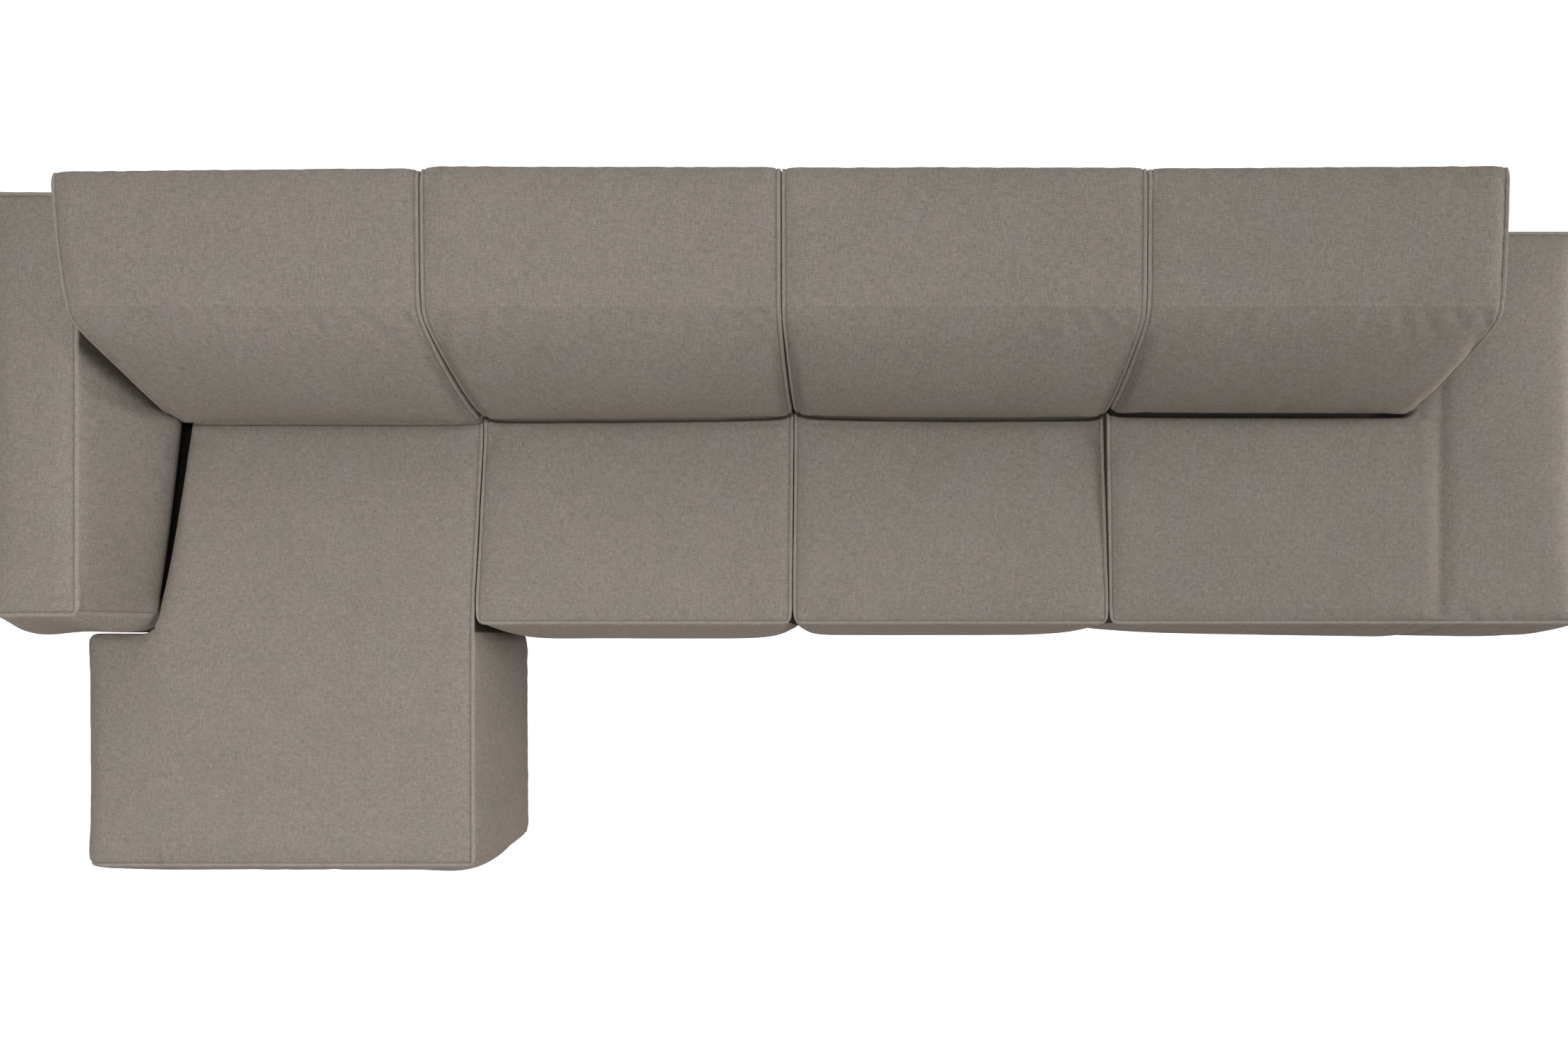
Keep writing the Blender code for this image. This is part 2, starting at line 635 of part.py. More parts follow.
def flap(left, front, side):
    """The free side of the end seat: a ledge over the base, and the pad that folds up from it."""
    inner = FOLD + PAD_CLEARANCE

    def bulged(x, y, z):
        """Carries the end seat's bulging border on round the free corner."""
        amount = swell((min(z, END_SEAT_HEIGHT) - UNDERSIDE) / (END_SEAT_HEIGHT - UNDERSIDE))
        place = Vector((x, y, z))
        if past(x, side):
            place.x += SIDE_BULGE * amount * dome(y, front, REAR, END_POWER)
        if short_of(y, front):
            place.y -= FRONT_BULGE * amount * dome(x, left, side, END_POWER)
        return place

    def ledge_warp(x, y, level):
        return bulged(x, y, share(UNDERSIDE, FLAP_LEDGE_TOP, level))

    xs = spread(inner, side, 4)
    ys = spread(front, REAR, 8)
    fullest = FULL_BULGE_SHARE * (END_SEAT_HEIGHT - UNDERSIDE) / (FLAP_LEDGE_TOP - UNDERSIDE)
    ledge = lattice("flap_base_cover", xs, ys, (0.0, fullest, 1.0), ledge_warp)
    inside = (inner - OVERRUN, front + FRONT_WALL, UNDERSIDE - OVERRUN)
    recess = FRAME_TOP + PLATE + 2 * GAP
    hollow(ledge, [(inside, (side - SIDE_WALL, REAR - REAR_WALL, recess))])

    under = FLAP_LEDGE_TOP + PLATE + 2 * GAP

    def pad_warp(x, y, level):
        rise = SEAT_CROWN * dome(x, inner, side, 4) * dome(y, front, REAR, 4) * (x - inner) / (side - inner)
        return bulged(x, y, share(under, END_SEAT_HEIGHT + rise, level))

    def rounded(middle):
        return middle.x > inner

    pad = lattice("flap_pad", xs, ys, BORDER_LEVEL_SHARES, pad_warp, rounded=rounded)
    pivot = Vector((FOLD, (front + REAR) / 2, FLAP_PIVOT_HEIGHT))
    low_z = FLAP_LEDGE_TOP + GAP - FLAP_PIVOT_HEIGHT
    half = (REAR - front) / 2 - INSERT_BORDER
    insert_low = (-half, PAD_CLEARANCE, low_z)
    insert_high = (half, side - FOLD - INSERT_BORDER, low_z + PLATE)
    height = FLAP_PIVOT_HEIGHT - FRAME_TOP - GAP
    insert = hinge("flap", pivot, -math.pi / 2, height, FLAP_HINGE_SPREAD, insert_low, insert_high)
    hang(pad, insert)


def foot(name, x, y):
    model = bmesh.new()
    add_rod(model, (x, y, 0), (x, y, UNDERSIDE - GAP), FOOT_RADIUS, FOOT_SIDES)
    part = finish(name, model, PLASTIC)
    part.data.shade_smooth()
    part.data.set_sharp_from_angle(angle=SHARP_ANGLE)


def feet(bases, arm_base):
    """Two feet under the right side of each module and under the arm, and two under the chaise's front."""
    arm_low, arm_high = arm_base
    arm_middle = (arm_low[0] + arm_high[0]) / 2
    rear = arm_high[1] - FOOT_INSET
    front = at_depth(MODULE_DEPTH) + FRONT_WALL + FOOT_INSET
    foot("arm_foot_front", arm_middle, arm_low[1] + FOOT_INSET)
    foot("arm_foot_rear", arm_middle, rear)
    for name, (low, high) in bases.items():
        side = high[0] - FOOT_INSET
        foot(f"{name}_foot_front", side, front)
        foot(f"{name}_foot_rear", side, rear)
    chaise_low, chaise_high = bases["chaise"]
    toe = chaise_low[1] + FOOT_INSET
    foot("chaise_toe_left", chaise_low[0] + FOOT_INSET, toe)
    foot("chaise_toe_right", chaise_high[0] - FOOT_INSET, toe)


def connectors():
    """Steel plates screwed up into both frames across each seam."""
    middle = at_depth(MODULE_DEPTH / 2)
    for index, seam in enumerate(SEAMS[:-1]):
        low = (seam - CONNECTOR_WIDTH / 2, middle - CONNECTOR_LENGTH / 2, UNDERSIDE - GAP - PLATE)
        high = (seam + CONNECTOR_WIDTH / 2, middle + CONNECTOR_LENGTH / 2, UNDERSIDE - GAP)
        finish(f"connector_{index + 1}", boxes([(low, high)]), STEEL)


def build():
    arm_base = arm("arm")
    spans = [
        (SEAMS[index] + SEAM_SETBACK, SEAMS[index + 1] - SEAM_SETBACK) for index in range(MODULE_COUNT)
    ]
    bases = {
        "chaise": chaise_module("chaise", *spans[0]),
        "middle_left": middle_module("middle_left", *spans[1]),
        "middle_right": middle_module("middle_right", *spans[2]),
        "end": end_module("end", *spans[3]),
    }
    feet(bases, arm_base)
    connectors()


build()
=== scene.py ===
"""Dressed chaise sofa: sewn covers, seams, woven cloth and studio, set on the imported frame.

The covers stand in for the plain solids of the frame and keep to their places. Metres, +Z up.
"""
import math

import bpy
import numpy as np
from bpy.props import FloatProperty, FloatVectorProperty, IntProperty, PointerProperty
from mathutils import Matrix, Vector, noise


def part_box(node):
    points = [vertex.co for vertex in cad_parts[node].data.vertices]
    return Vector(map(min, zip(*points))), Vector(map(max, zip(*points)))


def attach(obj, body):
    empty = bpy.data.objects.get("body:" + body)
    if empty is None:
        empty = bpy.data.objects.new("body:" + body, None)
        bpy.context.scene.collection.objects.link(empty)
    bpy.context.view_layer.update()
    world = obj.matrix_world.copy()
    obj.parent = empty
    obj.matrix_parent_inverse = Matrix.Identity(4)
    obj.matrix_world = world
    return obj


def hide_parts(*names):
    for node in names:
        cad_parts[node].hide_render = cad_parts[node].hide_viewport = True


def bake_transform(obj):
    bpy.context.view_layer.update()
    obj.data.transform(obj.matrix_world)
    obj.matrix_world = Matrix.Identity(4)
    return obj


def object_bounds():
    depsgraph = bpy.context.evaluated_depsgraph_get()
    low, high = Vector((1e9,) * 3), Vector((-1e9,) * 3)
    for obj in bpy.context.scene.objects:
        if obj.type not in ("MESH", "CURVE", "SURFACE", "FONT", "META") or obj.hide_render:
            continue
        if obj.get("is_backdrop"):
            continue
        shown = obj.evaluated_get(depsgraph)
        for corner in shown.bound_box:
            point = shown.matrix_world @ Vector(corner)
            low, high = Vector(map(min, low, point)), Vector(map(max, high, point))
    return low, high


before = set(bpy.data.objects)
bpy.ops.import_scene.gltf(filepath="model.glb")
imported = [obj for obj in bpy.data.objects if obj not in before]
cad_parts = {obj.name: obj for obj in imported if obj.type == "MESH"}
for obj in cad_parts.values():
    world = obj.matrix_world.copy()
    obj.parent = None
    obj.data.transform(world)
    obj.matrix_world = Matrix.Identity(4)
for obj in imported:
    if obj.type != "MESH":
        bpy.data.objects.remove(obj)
cad_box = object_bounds()

bl_info = {
    "name": "Chaise Sofa",
    "version": (1, 0, 0),
    "blender": (4, 5, 0),
    "location": "3D View > Sidebar > Sofa",
    "description": "Builds the covers, seams and studio of a modular chaise sofa",
    "category": "Object",
}

MODULES = ("chaise", "middle_left", "middle_right", "end")

# Places taken from the frame
SEAT = {name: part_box(f"{name}_seat_cover") for name in MODULES}
BACK = {name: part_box(f"{name}_back_cushion") for name in MODULES}
PAD = {name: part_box(f"{name}_headrest_pad") for name in MODULES}
SHELL = {name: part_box(f"{name}_back_cover") for name in MODULES}
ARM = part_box("arm_cover")
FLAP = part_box("flap_pad")
FLAP_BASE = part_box("flap_base_cover")
REAR = PAD["chaise"][1].y
UNDERSIDE = ARM[0].z

# Depths of the covers, all but the last measured from the rear
MODULE_DEPTH = 1.045
ARM_DEPTH = 1.03
CHAISE_DEPTH = 1.69
STEP_DEPTH = 1.069
BACK_DEPTH = 0.49
BACK_EDGE_DEPTH = 0.345
CREASE_DEPTH = 0.0098

# Seam lines and heights of the covers
MODULE_FRONT = REAR - MODULE_DEPTH
ARM_FRONT = REAR - ARM_DEPTH
CHAISE_FRONT = REAR - CHAISE_DEPTH
CHAISE_STEP = REAR - STEP_DEPTH
BACK_FOOT = REAR - BACK_DEPTH
FOLD_END = PAD["chaise"][0].y
FOLD_START = FOLD_END - CREASE_DEPTH
RIGHT = 2.01
CHAISE_LEFT = -1.96
ARM_LEFT = CHAISE_LEFT - 0.05
ARM_INNER = CHAISE_LEFT + 0.157
CREASE_TOP = 0.7745
BACK_EDGE_TOP = 0.757
PAD_REAR_TOP = 0.782
PAD_UNDER = 0.6798
SEAT_FRONT_TOP = 0.445
SEAT_REAR_TOP = 0.415
END_TOP = 0.44
ARM_TOP = 0.67

# Forms that several covers share: bulge of the open sides, crown of a seat, radius of the corners,
# how a back rounds off towards its seams, and how a seat gives under a back
SIDE_BULGE = 0.02
SEAT_CROWN = 0.006
CORNER = 0.016
WIDE_CORNER = 0.02
SIDE_ROUNDING = 0.045
FOOT_ROUNDING = 0.02
FOOT_LIFT_REACH = 0.2
HOLLOW_WIDTH = 0.014
SLIT_WIDTH = 0.0055
PIT_DEPTH = 0.06
PIT_SIZE = (0.0095, 0.006)
FOOT_HOLD = 0.012
WANDER_SPAN = (-0.1, 0.3)

# Depth of the uneven hollows in each kind of cover, and the size and share of broad and fine ones
QUILT = {
    "chaise": 0.0014, "middle": 0.0012, "end": 0.0011, "flap_base": 0.001, "back": 0.001,
    "back_shell": 0.0008, "arm": 0.0012,
}
QUILT_SIZES = (0.16, 0.06)
QUILT_SHARES = (0.7, 0.3)

# Where the arm's inner side stops following the seat and goes on behind the back
ARM_TURN_START = BACK_FOOT - 0.008
ARM_TURN_END = BACK_FOOT + 0.012
ARM_TURN_LENGTH = 0.02

# How each module differs from its neighbours: the backs' feet, the hollow they stand in, the seams'
# wander over the seats (front, rear) and over the backs (foot, top), the draw of the backs' sides
# (left, right), and the fullness and notches of the rear rolls (left, right)
FOOT_FULLNESS = {"chaise": 0.018, "middle_left": 0.0095, "middle_right": 0.0075, "end": 0.001}
FOOT_HOLLOW = {"chaise": 0.004, "middle_left": 0.007, "middle_right": 0.008, "end": 0.012}
FOOT_SLIT = {"chaise": 0.003, "middle_left": 0.016, "middle_right": 0.022, "end": 0.032}
FOOT_LIFT = {
    "chaise": (0, 0), "middle_left": (0, 0.014), "middle_right": (0.014, 0.007), "end": (0.004, 0),
}
# How dark the painted shade along each back's foot line is
FOOT_SHADE = {"chaise": 0.0, "middle_left": 0.0, "middle_right": 0.12, "end": 0.72}
SEAT_WANDER = ((0, 0), (0, 0.0125), (0.0042, 0.0065), (0.0065, 0), (0, 0))
BACK_WANDER = ((-0.009, -0.009), (0.0125, 0.002), (0.007, -0.0016), (0.001, 0.0065), (0, 0.003))
CREASE_DRAW = {"chaise": (0.026, 0), "middle_left": (0, 0), "middle_right": (0, 0), "end": (0, 0.008)}
REAR_FULLNESS = {
    "chaise": (0.004, 0.012), "middle_left": (0.016, 0.0145), "middle_right": (0.014, 0.0135),
    "end": (0.0115, 0.0165),
}
REAR_NOTCH = {
    "chaise": (0.003, 0.0095), "middle_left": (0.0095, 0.004), "middle_right": (0.004, 0.003),
    "end": (0.003, 0.003),
}
# Bulge of a middle seat's front, and how squarely it ends at the left and at the right
FRONT_FORM = {"middle_left": (0.0325, 10, 8), "middle_right": (0.0225, 14, 5)}

# Studio: each light's name, place, target, size and watts, then the camera
LIGHTS = (
    ("Top light", (0.0, 0.4, 5.2), (0.0, 0.2, 0.0), 5.0, 124.0),
    ("Key light", (-1.4, -1.75, 3.4), (-1.6, 0.2, 0.4), 2.0, 89.0),
    ("Side light", (5.4, 0.4, 1.3), (-0.5, 0.0, 0.4), 2.5, 272.0),
    ("Rear light", (-1.5, 4.4, 3.6), (0.0, 0.3, 0.4), 3.0, 91.0),
)
LIGHT_COLOUR = (1.0, 0.983, 0.965)
SKY_COLOUR = (1, 0.86, 0.7, 1)
SKY_STRENGTH = 0.045
FLOOR_REACH = 14.0
FLOOR_GLOW = 0.95
WHITE = (1, 1, 1, 1)
CAMERA_PLACE = (0.07, -0.2275, 3.0)
CAMERA_SENSOR = 36
CAMERA_LENS = 22.09
CAMERA_SHIFT = (-0.0428, 0.0752)


class SofaSizes(bpy.types.PropertyGroup):
    """Sizes of the cloth work."""

    cell: FloatProperty(
        name="Cloth cell", description="Spacing of the cloth mesh before its subdivision",
        default=0.017, min=0.01, max=0.04, unit="LENGTH",
    )
    puff: FloatProperty(
        name="Puff", description="How far the filling may push a cover out",
        default=0.005, min=0.0, max=0.03, unit="LENGTH",
    )
    groove: FloatProperty(
        name="Groove depth", description="Depth of the stitched line beside each seam",
        default=0.004, min=0.0, max=0.006, unit="LENGTH",
    )
    edge: FloatProperty(
        name="Edge rounding", description="How far a sewn edge draws in",
        default=0.0018, min=0.0, max=0.008, unit="LENGTH",
    )
    stitch_pitch: FloatProperty(
        name="Stitch pitch", description="Distance from stitch to stitch",
        default=0.0075, min=0.003, max=0.02, unit="LENGTH",
    )
    stitch_length: FloatProperty(
        name="Stitch length", description="Length of one stitch",
        default=0.0046, min=0.001, max=0.015, unit="LENGTH",
    )
    stitch_radius: FloatProperty(
        name="Stitch radius", description="Half the thickness of one stitch",
        default=0.0006, min=0.0002, max=0.002, unit="LENGTH",
    )
    yarn: FloatProperty(
        name="Yarn pitch", description="Distance from yarn to yarn in the weave",
        default=0.0021, min=0.0005, max=0.01, unit="LENGTH",
    )
    frames: IntProperty(
        name="Cloth frames", description="Length of each cloth simulation", default=20, min=5, max=60,
    )


class SofaColours(bpy.types.PropertyGroup):
    """Colours of the finishes."""

    cloth: FloatVectorProperty(
        name="Cloth", description="Main colour of the woven cover", subtype="COLOR", size=3,
        default=(0.272, 0.246, 0.221), min=0, max=1,
    )
    cloth_dark: FloatVectorProperty(
        name="Cloth, dark yarn", description="Colour of the darker yarns", subtype="COLOR", size=3,
        default=(0.169, 0.1515, 0.1345), min=0, max=1,
    )
    timber: FloatVectorProperty(
        name="Timber", description="Colour of the frame's pine", subtype="COLOR", size=3,
        default=(0.55, 0.36, 0.19), min=0, max=1,
    )
    dust_cloth: FloatVectorProperty(
        name="Dust cloth", description="Colour of the cloth under the base", subtype="COLOR", size=3,
        default=(0.018, 0.018, 0.02), min=0, max=1,
    )
    steel: FloatVectorProperty(
        name="Steel", description="Colour of the coated steel", subtype="COLOR", size=3,
        default=(0.05, 0.05, 0.055), min=0, max=1,
    )
    plastic: FloatVectorProperty(
        name="Plastic", description="Colour of the feet", subtype="COLOR", size=3,
        default=(0.022, 0.021, 0.02), min=0, max=1,
    )
    floor: FloatVectorProperty(
        name="Floor", description="Colour of the studio floor", subtype="COLOR", size=3,
        default=(0.6, 0.575, 0.55), min=0, max=1,
    )


# Distances of the lattice lines from a seam, from a plain edge, and where a span only goes on
SEAM_LINES = (0.0, 0.0025, 0.0055, 0.0085, 0.0105, 0.0125, 0.0165, 0.023)
EDGE_LINES = (0.0, 0.006, 0.014, 0.026)
FLUSH = (0.0,)
FOOT_LINES = (0.0, 0.002, 0.005, 0.009, 0.016)
PAST_FOOT = (0.0, 0.005, 0.01, 0.016, 0.023)

# Width of the strip between a seam and its stitches, and how far a cover reaches past its solid
STRIP = 0.0105
SNUG = 0.0011

# How far the rounding of a sewn edge and a groove spread, and half a lattice step beside them
EDGE_SPREAD = 0.0024
GROOVE_SPREAD = 0.0018
HALF_STEP = 0.001

# The cloth and the filling's push in the simulation
CLOTH_SETTINGS = {
    "quality": 4, "mass": 0.4, "tension_stiffness": 12, "compression_stiffness": 12,
    "shear_stiffness": 4, "bending_stiffness": 0.6, "air_damping": 2, "use_pressure": True,
    "uniform_pressure_force": 4.0, "vertex_group_mass": "held", "shrink_min": -0.012,
}

# Stitch rows: spacing of their points, rounds of smoothing, and how proud of the groove they lie
ROW_SPACING = 0.006
ROW_ROUNDS = 2
ROW_LIFT = 0.0002


# Rounding of an edge, which moves in by 1 - 1/sqrt(2) of the radius, and how squarely open sides end
EDGE_PULL_SHARE = 0.293
EDGE_SPREAD_SHARE = 0.7
OPEN_SIDE_POWER = 6


# Rules of form


def share(start, end, amount):
    return start + (end - start) * amount


def ramp(value, start, end):
    return np.clip((value - start) / (end - start), 0, 1)


def hump(distance, width):
    """1 at a line, falling off softly to both sides."""
    return np.exp(-((distance / width) ** 2))


def fade(distance, width):
    """1 at an edge, dying away beyond it."""
    return np.exp(-np.maximum(distance, 0) / width)


def dome(value, start, end, power=2):
    """1 in the middle of a span and 0 at its ends and beyond."""
    return 1 - np.minimum(1, np.abs(2 * (value - start) / (end - start) - 1)) ** power


def swell(amount, power=2):
    """Bulge of a padded border at a share of its height, fullest at the belly."""
    belly = 0.35
    low = share(belly, 1, amount / belly)
    high = 1 - ((amount - belly) / (1 - belly)) ** power
    return np.where(amount < belly, low, high)


def lines(start, end, cell, near=EDGE_LINES, far=EDGE_LINES):
    """Lattice lines over a span, close together where a seam or a corner needs it."""
    low = start + np.array(near)
    high = end - np.array(far)[::-1]
    count = max(1, round((high[0] - low[-1]) / cell))
    middle = np.linspace(low[-1], high[0], count + 1)[1:-1]
    return np.concatenate([low, middle, high])


def joined(*runs):
    return np.unique(np.concatenate(runs))


def quarter(distance, radius):
    """1 at a rounded edge, falling to 0 a radius away, as a quarter circle does."""
    inside = 1 - np.clip(distance / radius, 0, 1)
    return 1 - np.sqrt(1 - inside**2)


def edge_draw(away, radius):
    """Move that rounds an edge to a radius, fading with the distance from it."""
    return EDGE_PULL_SHARE * radius * hump(away, EDGE_SPREAD_SHARE * radius)


def corner_draw(x, y, corner, radius):
    """Move that rounds an upright corner in plan."""
    return edge_draw(np.hypot(x - corner[0], y - corner[1]), radius)


def side_bulge(y, front, level):
    """Bulge of a padded side that stands open."""
    return SIDE_BULGE * swell(level) * dome(y, front, REAR, OPEN_SIDE_POWER)


# Making a cover


def new_piece(name, data):
    piece = bpy.data.objects.new(name, data)
    bpy.context.scene.collection.objects.link(piece)
    return piece


def whole(x, y, z):
    """Keeps every cell of a lattice."""
    return x == x


class Cover:
    """A closed cloth mesh on the outside of a lattice of cells."""

    def __init__(self, name, axes, keep, place, cloth_axes=None, underside=True):
        """axes are three arrays of lattice lines; keep and place read arrays of lattice places."""
        self.axes = axes
        centres = [(line[1:] + line[:-1]) / 2 for line in axes]
        grid = np.meshgrid(*centres, indexing="ij")
        kept = np.broadcast_to(keep(*grid), grid[0].shape)
        sides, corners = [], []
        padded = np.pad(kept, 1)
        for axis in range(3):
            for way in (0, 1):
                beyond = np.roll(padded, 1 - 2 * way, axis)[1:-1, 1:-1, 1:-1]
                cells = np.argwhere(kept & ~beyond)
                first, second = (axis + 1) % 3, (axis + 2) % 3
                ring = [(0, 0), (1, 0), (1, 1), (0, 1)] if way else [(0, 0), (0, 1), (1, 1), (1, 0)]
                face = np.repeat(cells[:, None, :], 4, axis=1)
                for index, (a, b) in enumerate(ring):
                    face[:, index, axis] += way
                    face[:, index, first] += a
                    face[:, index, second] += b
                corners.append(face)
                sides.append(np.full(len(cells), axis * 2 + way))
        corners, sides = np.concatenate(corners), np.concatenate(sides)
        shape = [len(line) for line in axes]
        flat = np.ravel_multi_index(corners.reshape(-1, 3).T, shape)
        used, faces = np.unique(flat, return_inverse=True)
        self.lookup = np.full(shape, -1)
        self.lookup.ravel()[used] = np.arange(len(used))
        self.spots = [line[index] for line, index in zip(axes, np.unravel_index(used, shape))]
        mesh = bpy.data.meshes.new(name)
        mesh.from_pydata(np.stack(place(*self.spots), axis=1), [], faces.reshape(-1, 4))
        cloth_axes = cloth_axes or axes
        picks = np.empty((len(corners), 4, 2))
        for axis, flow in enumerate(((1, 2), (0, 2), (0, 1))):
            chosen = sides // 2 == axis
            for index, way in enumerate(flow):
                picks[chosen, :, index] = cloth_axes[way][corners[chosen][:, :, way]]
        mesh.uv_layers.new(name="cloth").data.foreach_set("uv", picks.ravel())
        if underside:
            mesh.polygons.foreach_set("material_index", (sides == 4).astype(int))
        self.mesh = mesh
        self.stitched = np.zeros(len(used), bool)
        self.piece = new_piece(name, mesh)

    def mark(self, name, values):
        """Stores a value from 0 to 1 at each point for the cloth's colour, with wear, painted highlight
        and painted shade.
        """
        layer = self.mesh.attributes.new(name, "FLOAT", "POINT")
        layer.data.foreach_set("value", np.clip(values.astype(float), 0, 1))

    def sew(self, distance, panel, sizes):
        """Rounds the sewn edges and draws a stitched groove beside them."""
        edge = sizes.edge * hump(distance, EDGE_SPREAD)
        groove = sizes.groove * hump(distance - STRIP, GROOVE_SPREAD) * panel
        drawn = vertex_normals(self.mesh) * (edge + groove)[:, None]
        move_to(self.mesh, vertex_places(self.mesh) - drawn)
        self.stitched = panel & (distance < STRIP + HALF_STEP)
        # Strip beside the seam, drawn lighter: part wear, part painted highlight on the raised welt
        self.mark("strip", panel & (distance < STRIP - HALF_STEP))
        # Groove line, drawn darker: part soiling, part painted shade in the groove
        self.mark("groove", panel & (np.abs(distance - STRIP) < HALF_STEP))

    def inflate(self, held, puff, frames):
        """Lets the filling push the cloth out, by a cloth simulation, with the held places fixed."""
        start = vertex_places(self.mesh)
        pins = self.piece.vertex_groups.new(name="held")
        pins.add(np.flatnonzero(held(*self.spots) | self.stitched).tolist(), 1.0, "REPLACE")
        step = self.piece.modifiers.new("cloth", "CLOTH")
        for setting, value in CLOTH_SETTINGS.items():
            setattr(step.settings, setting, value)
        step.settings.effector_weights.gravity = 0
        step.collision_settings.use_collision = False
        step.point_cache.frame_start = 1
        step.point_cache.frame_end = frames
        for number in range(1, frames + 1):
            bpy.context.scene.frame_set(number)
        graph = bpy.context.evaluated_depsgraph_get()
        end = vertex_places(self.piece.evaluated_get(graph).data)
        self.piece.modifiers.clear()
        self.piece.vertex_groups.clear()
        bpy.context.scene.frame_set(1)
        move = end - start
        reach = np.linalg.norm(move, axis=1, keepdims=True) + 1e-9
        move *= puff * np.tanh(reach / puff) / reach
        move_to(self.mesh, start + move)

    def smooth(self, sculpt):
        """One subdivision, made final, then small moves along the normals."""
        step = self.piece.modifiers.new("smooth", "SUBSURF")
        step.levels = step.render_levels = 1
        settle(self.piece)
        self.mesh = self.piece.data
        places = vertex_places(self.mesh)
        move_to(self.mesh, places + vertex_normals(self.mesh) * sculpt(places)[:, None])
        self.mesh.shade_smooth()

    def path(self, nodes):
        """Places and outward directions on the finished mesh at a run of lattice corners."""
        found = self.lookup[tuple(np.array(nodes).T)]
        return vertex_places(self.mesh)[found], vertex_normals(self.mesh)[found]


def vertex_places(mesh):
    places = np.empty(len(mesh.vertices) * 3)
    mesh.vertices.foreach_get("co", places)
    return places.reshape(-1, 3)


def vertex_normals(mesh):
    normals = np.empty(len(mesh.vertices) * 3)
    mesh.vertex_normals.foreach_get("vector", normals)
    return normals.reshape(-1, 3)


def move_to(mesh, places):
    mesh.vertices.foreach_set("co", places.ravel())
    mesh.update()


def settle(piece):
    """Makes a piece's modifiers final."""
    graph = bpy.context.evaluated_depsgraph_get()
    made = bpy.data.meshes.new_from_object(piece.evaluated_get(graph), depsgraph=graph)
    old = piece.data
    piece.modifiers.clear()
    piece.data = made
    bpy.data.meshes.remove(old)
    made.name = piece.name


def ripple(places, scale, seed):
    """Soft noise from -1 to 1 at each place."""
    shift = Vector((seed * 7.3, seed * 3.1, seed * 5.7))
    return np.array([noise.noise(Vector(place) / scale + shift) for place in places])


# Seams: rows of stitches that lie in the grooves


def track(cover, *corners):
    """Lattice corners along straight runs between the given places."""
    nodes = []
    stops = [
        [int(np.argmin(np.abs(line - value))) for line, value in zip(cover.axes, corner)]
        for corner in corners
    ]
    for start, end in zip(stops, stops[1:]):
        span = max(abs(b - a) for a, b in zip(start, end))
        for step in range(span + 1):
            node = tuple(round(share(a, b, step / span)) for a, b in zip(start, end))
            if not nodes or nodes[-1] != node:
                nodes.append(node)
    return nodes


def stitch_row(cover, *corners):
    """Even points along a groove, just proud of its bottom."""
    places, normals = cover.path(track(cover, *corners))
    places = places + normals * ROW_LIFT
    lengths = np.concatenate([[0], np.cumsum(np.linalg.norm(np.diff(places, axis=0), axis=1))])
    count = max(2, round(lengths[-1] / ROW_SPACING))
    at = np.linspace(0, lengths[-1], count + 1)
    places = np.stack([np.interp(at, lengths, places[:, axis]) for axis in range(3)], axis=1)
    for _ in range(ROW_ROUNDS):
        places[1:-1] = (places[:-2] + 2 * places[1:-1] + places[2:]) / 4
    return places


# Node trees


class NodeKit:
    """Short ways to add and join nodes in one tree."""

    def __init__(self, tree):
        self.tree = tree

    def fill(self, node, inputs):
        for key, value in inputs.items():
            if isinstance(value, bpy.types.NodeSocket):
                self.tree.links.new(value, node.inputs[key])
            else:
                node.inputs[key].default_value = value

    def add(self, kind, inputs=None, **settings):
        node = self.tree.nodes.new(kind)
        for key, value in settings.items():
            setattr(node, key, value)
        self.fill(node, inputs or {})
        return node

    def math(self, operation, *values):
        return self.add("ShaderNodeMath", dict(enumerate(values)), operation=operation).outputs[0]

    def times(self, *values):
        return self.math("MULTIPLY", *values)

    def vector(self, operation, *values):
        return self.add("ShaderNodeVectorMath", dict(enumerate(values)), operation=operation).outputs[0]

    def scale(self, vector, amount):
        inputs = {0: vector, "Scale": amount}
        return self.add("ShaderNodeVectorMath", inputs, operation="SCALE").outputs[0]

    def spot(self, *values):
        return self.add("ShaderNodeCombineXYZ", dict(enumerate(values))).outputs[0]

    def mix(self, amount, first, second, blend="MIX"):
        inputs = {0: amount, 6: first, 7: second}
        return self.add("ShaderNodeMix", inputs, data_type="RGBA", blend_type=blend).outputs[2]

    def level(self, value, low, high, to_low, to_high):
        inputs = {0: value, 1: low, 2: high, 3: to_low, 4: to_high}
        return self.add("ShaderNodeMapRange", inputs).outputs[0]

    def noise(self, vector, scale, detail=2.0, roughness=0.5):
        inputs = {"Vector": vector, "Scale": scale, "Detail": detail, "Roughness": roughness}
        return self.add("ShaderNodeTexNoise", inputs).outputs["Fac"]

    def marked(self, name):
        """A value that the cloth mesh carries at its points."""
        return self.add("ShaderNodeAttribute", attribute_name=name).outputs["Fac"]

    def bump(self, strength, distance, height):
        inputs = {"Strength": strength, "Distance": distance, "Height": height}
        return self.add("ShaderNodeBump", inputs).outputs[0]

    def finish(self, inputs):
        """Sets the material's own shader."""
        self.fill(self.tree.nodes["Principled BSDF"], inputs)


def once(library, name):
    """Makes a material or node group when it is first asked for, and finds it again later."""

    def wrap(build):
        return lambda: getattr(bpy.data, library).get(name) or build(name)

    return wrap


def new_group(name, kind, inputs, outputs):
    tree = bpy.data.node_groups.new(name, kind)
    for way, sockets in (("INPUT", inputs), ("OUTPUT", outputs)):
        for label, socket_type, *default in sockets:
            socket = tree.interface.new_socket(label, in_out=way, socket_type=socket_type)
            if default:
                socket.default_value = default[0]
    kit = NodeKit(tree)
    return tree, kit, kit.add("NodeGroupInput").outputs, kit.add("NodeGroupOutput")


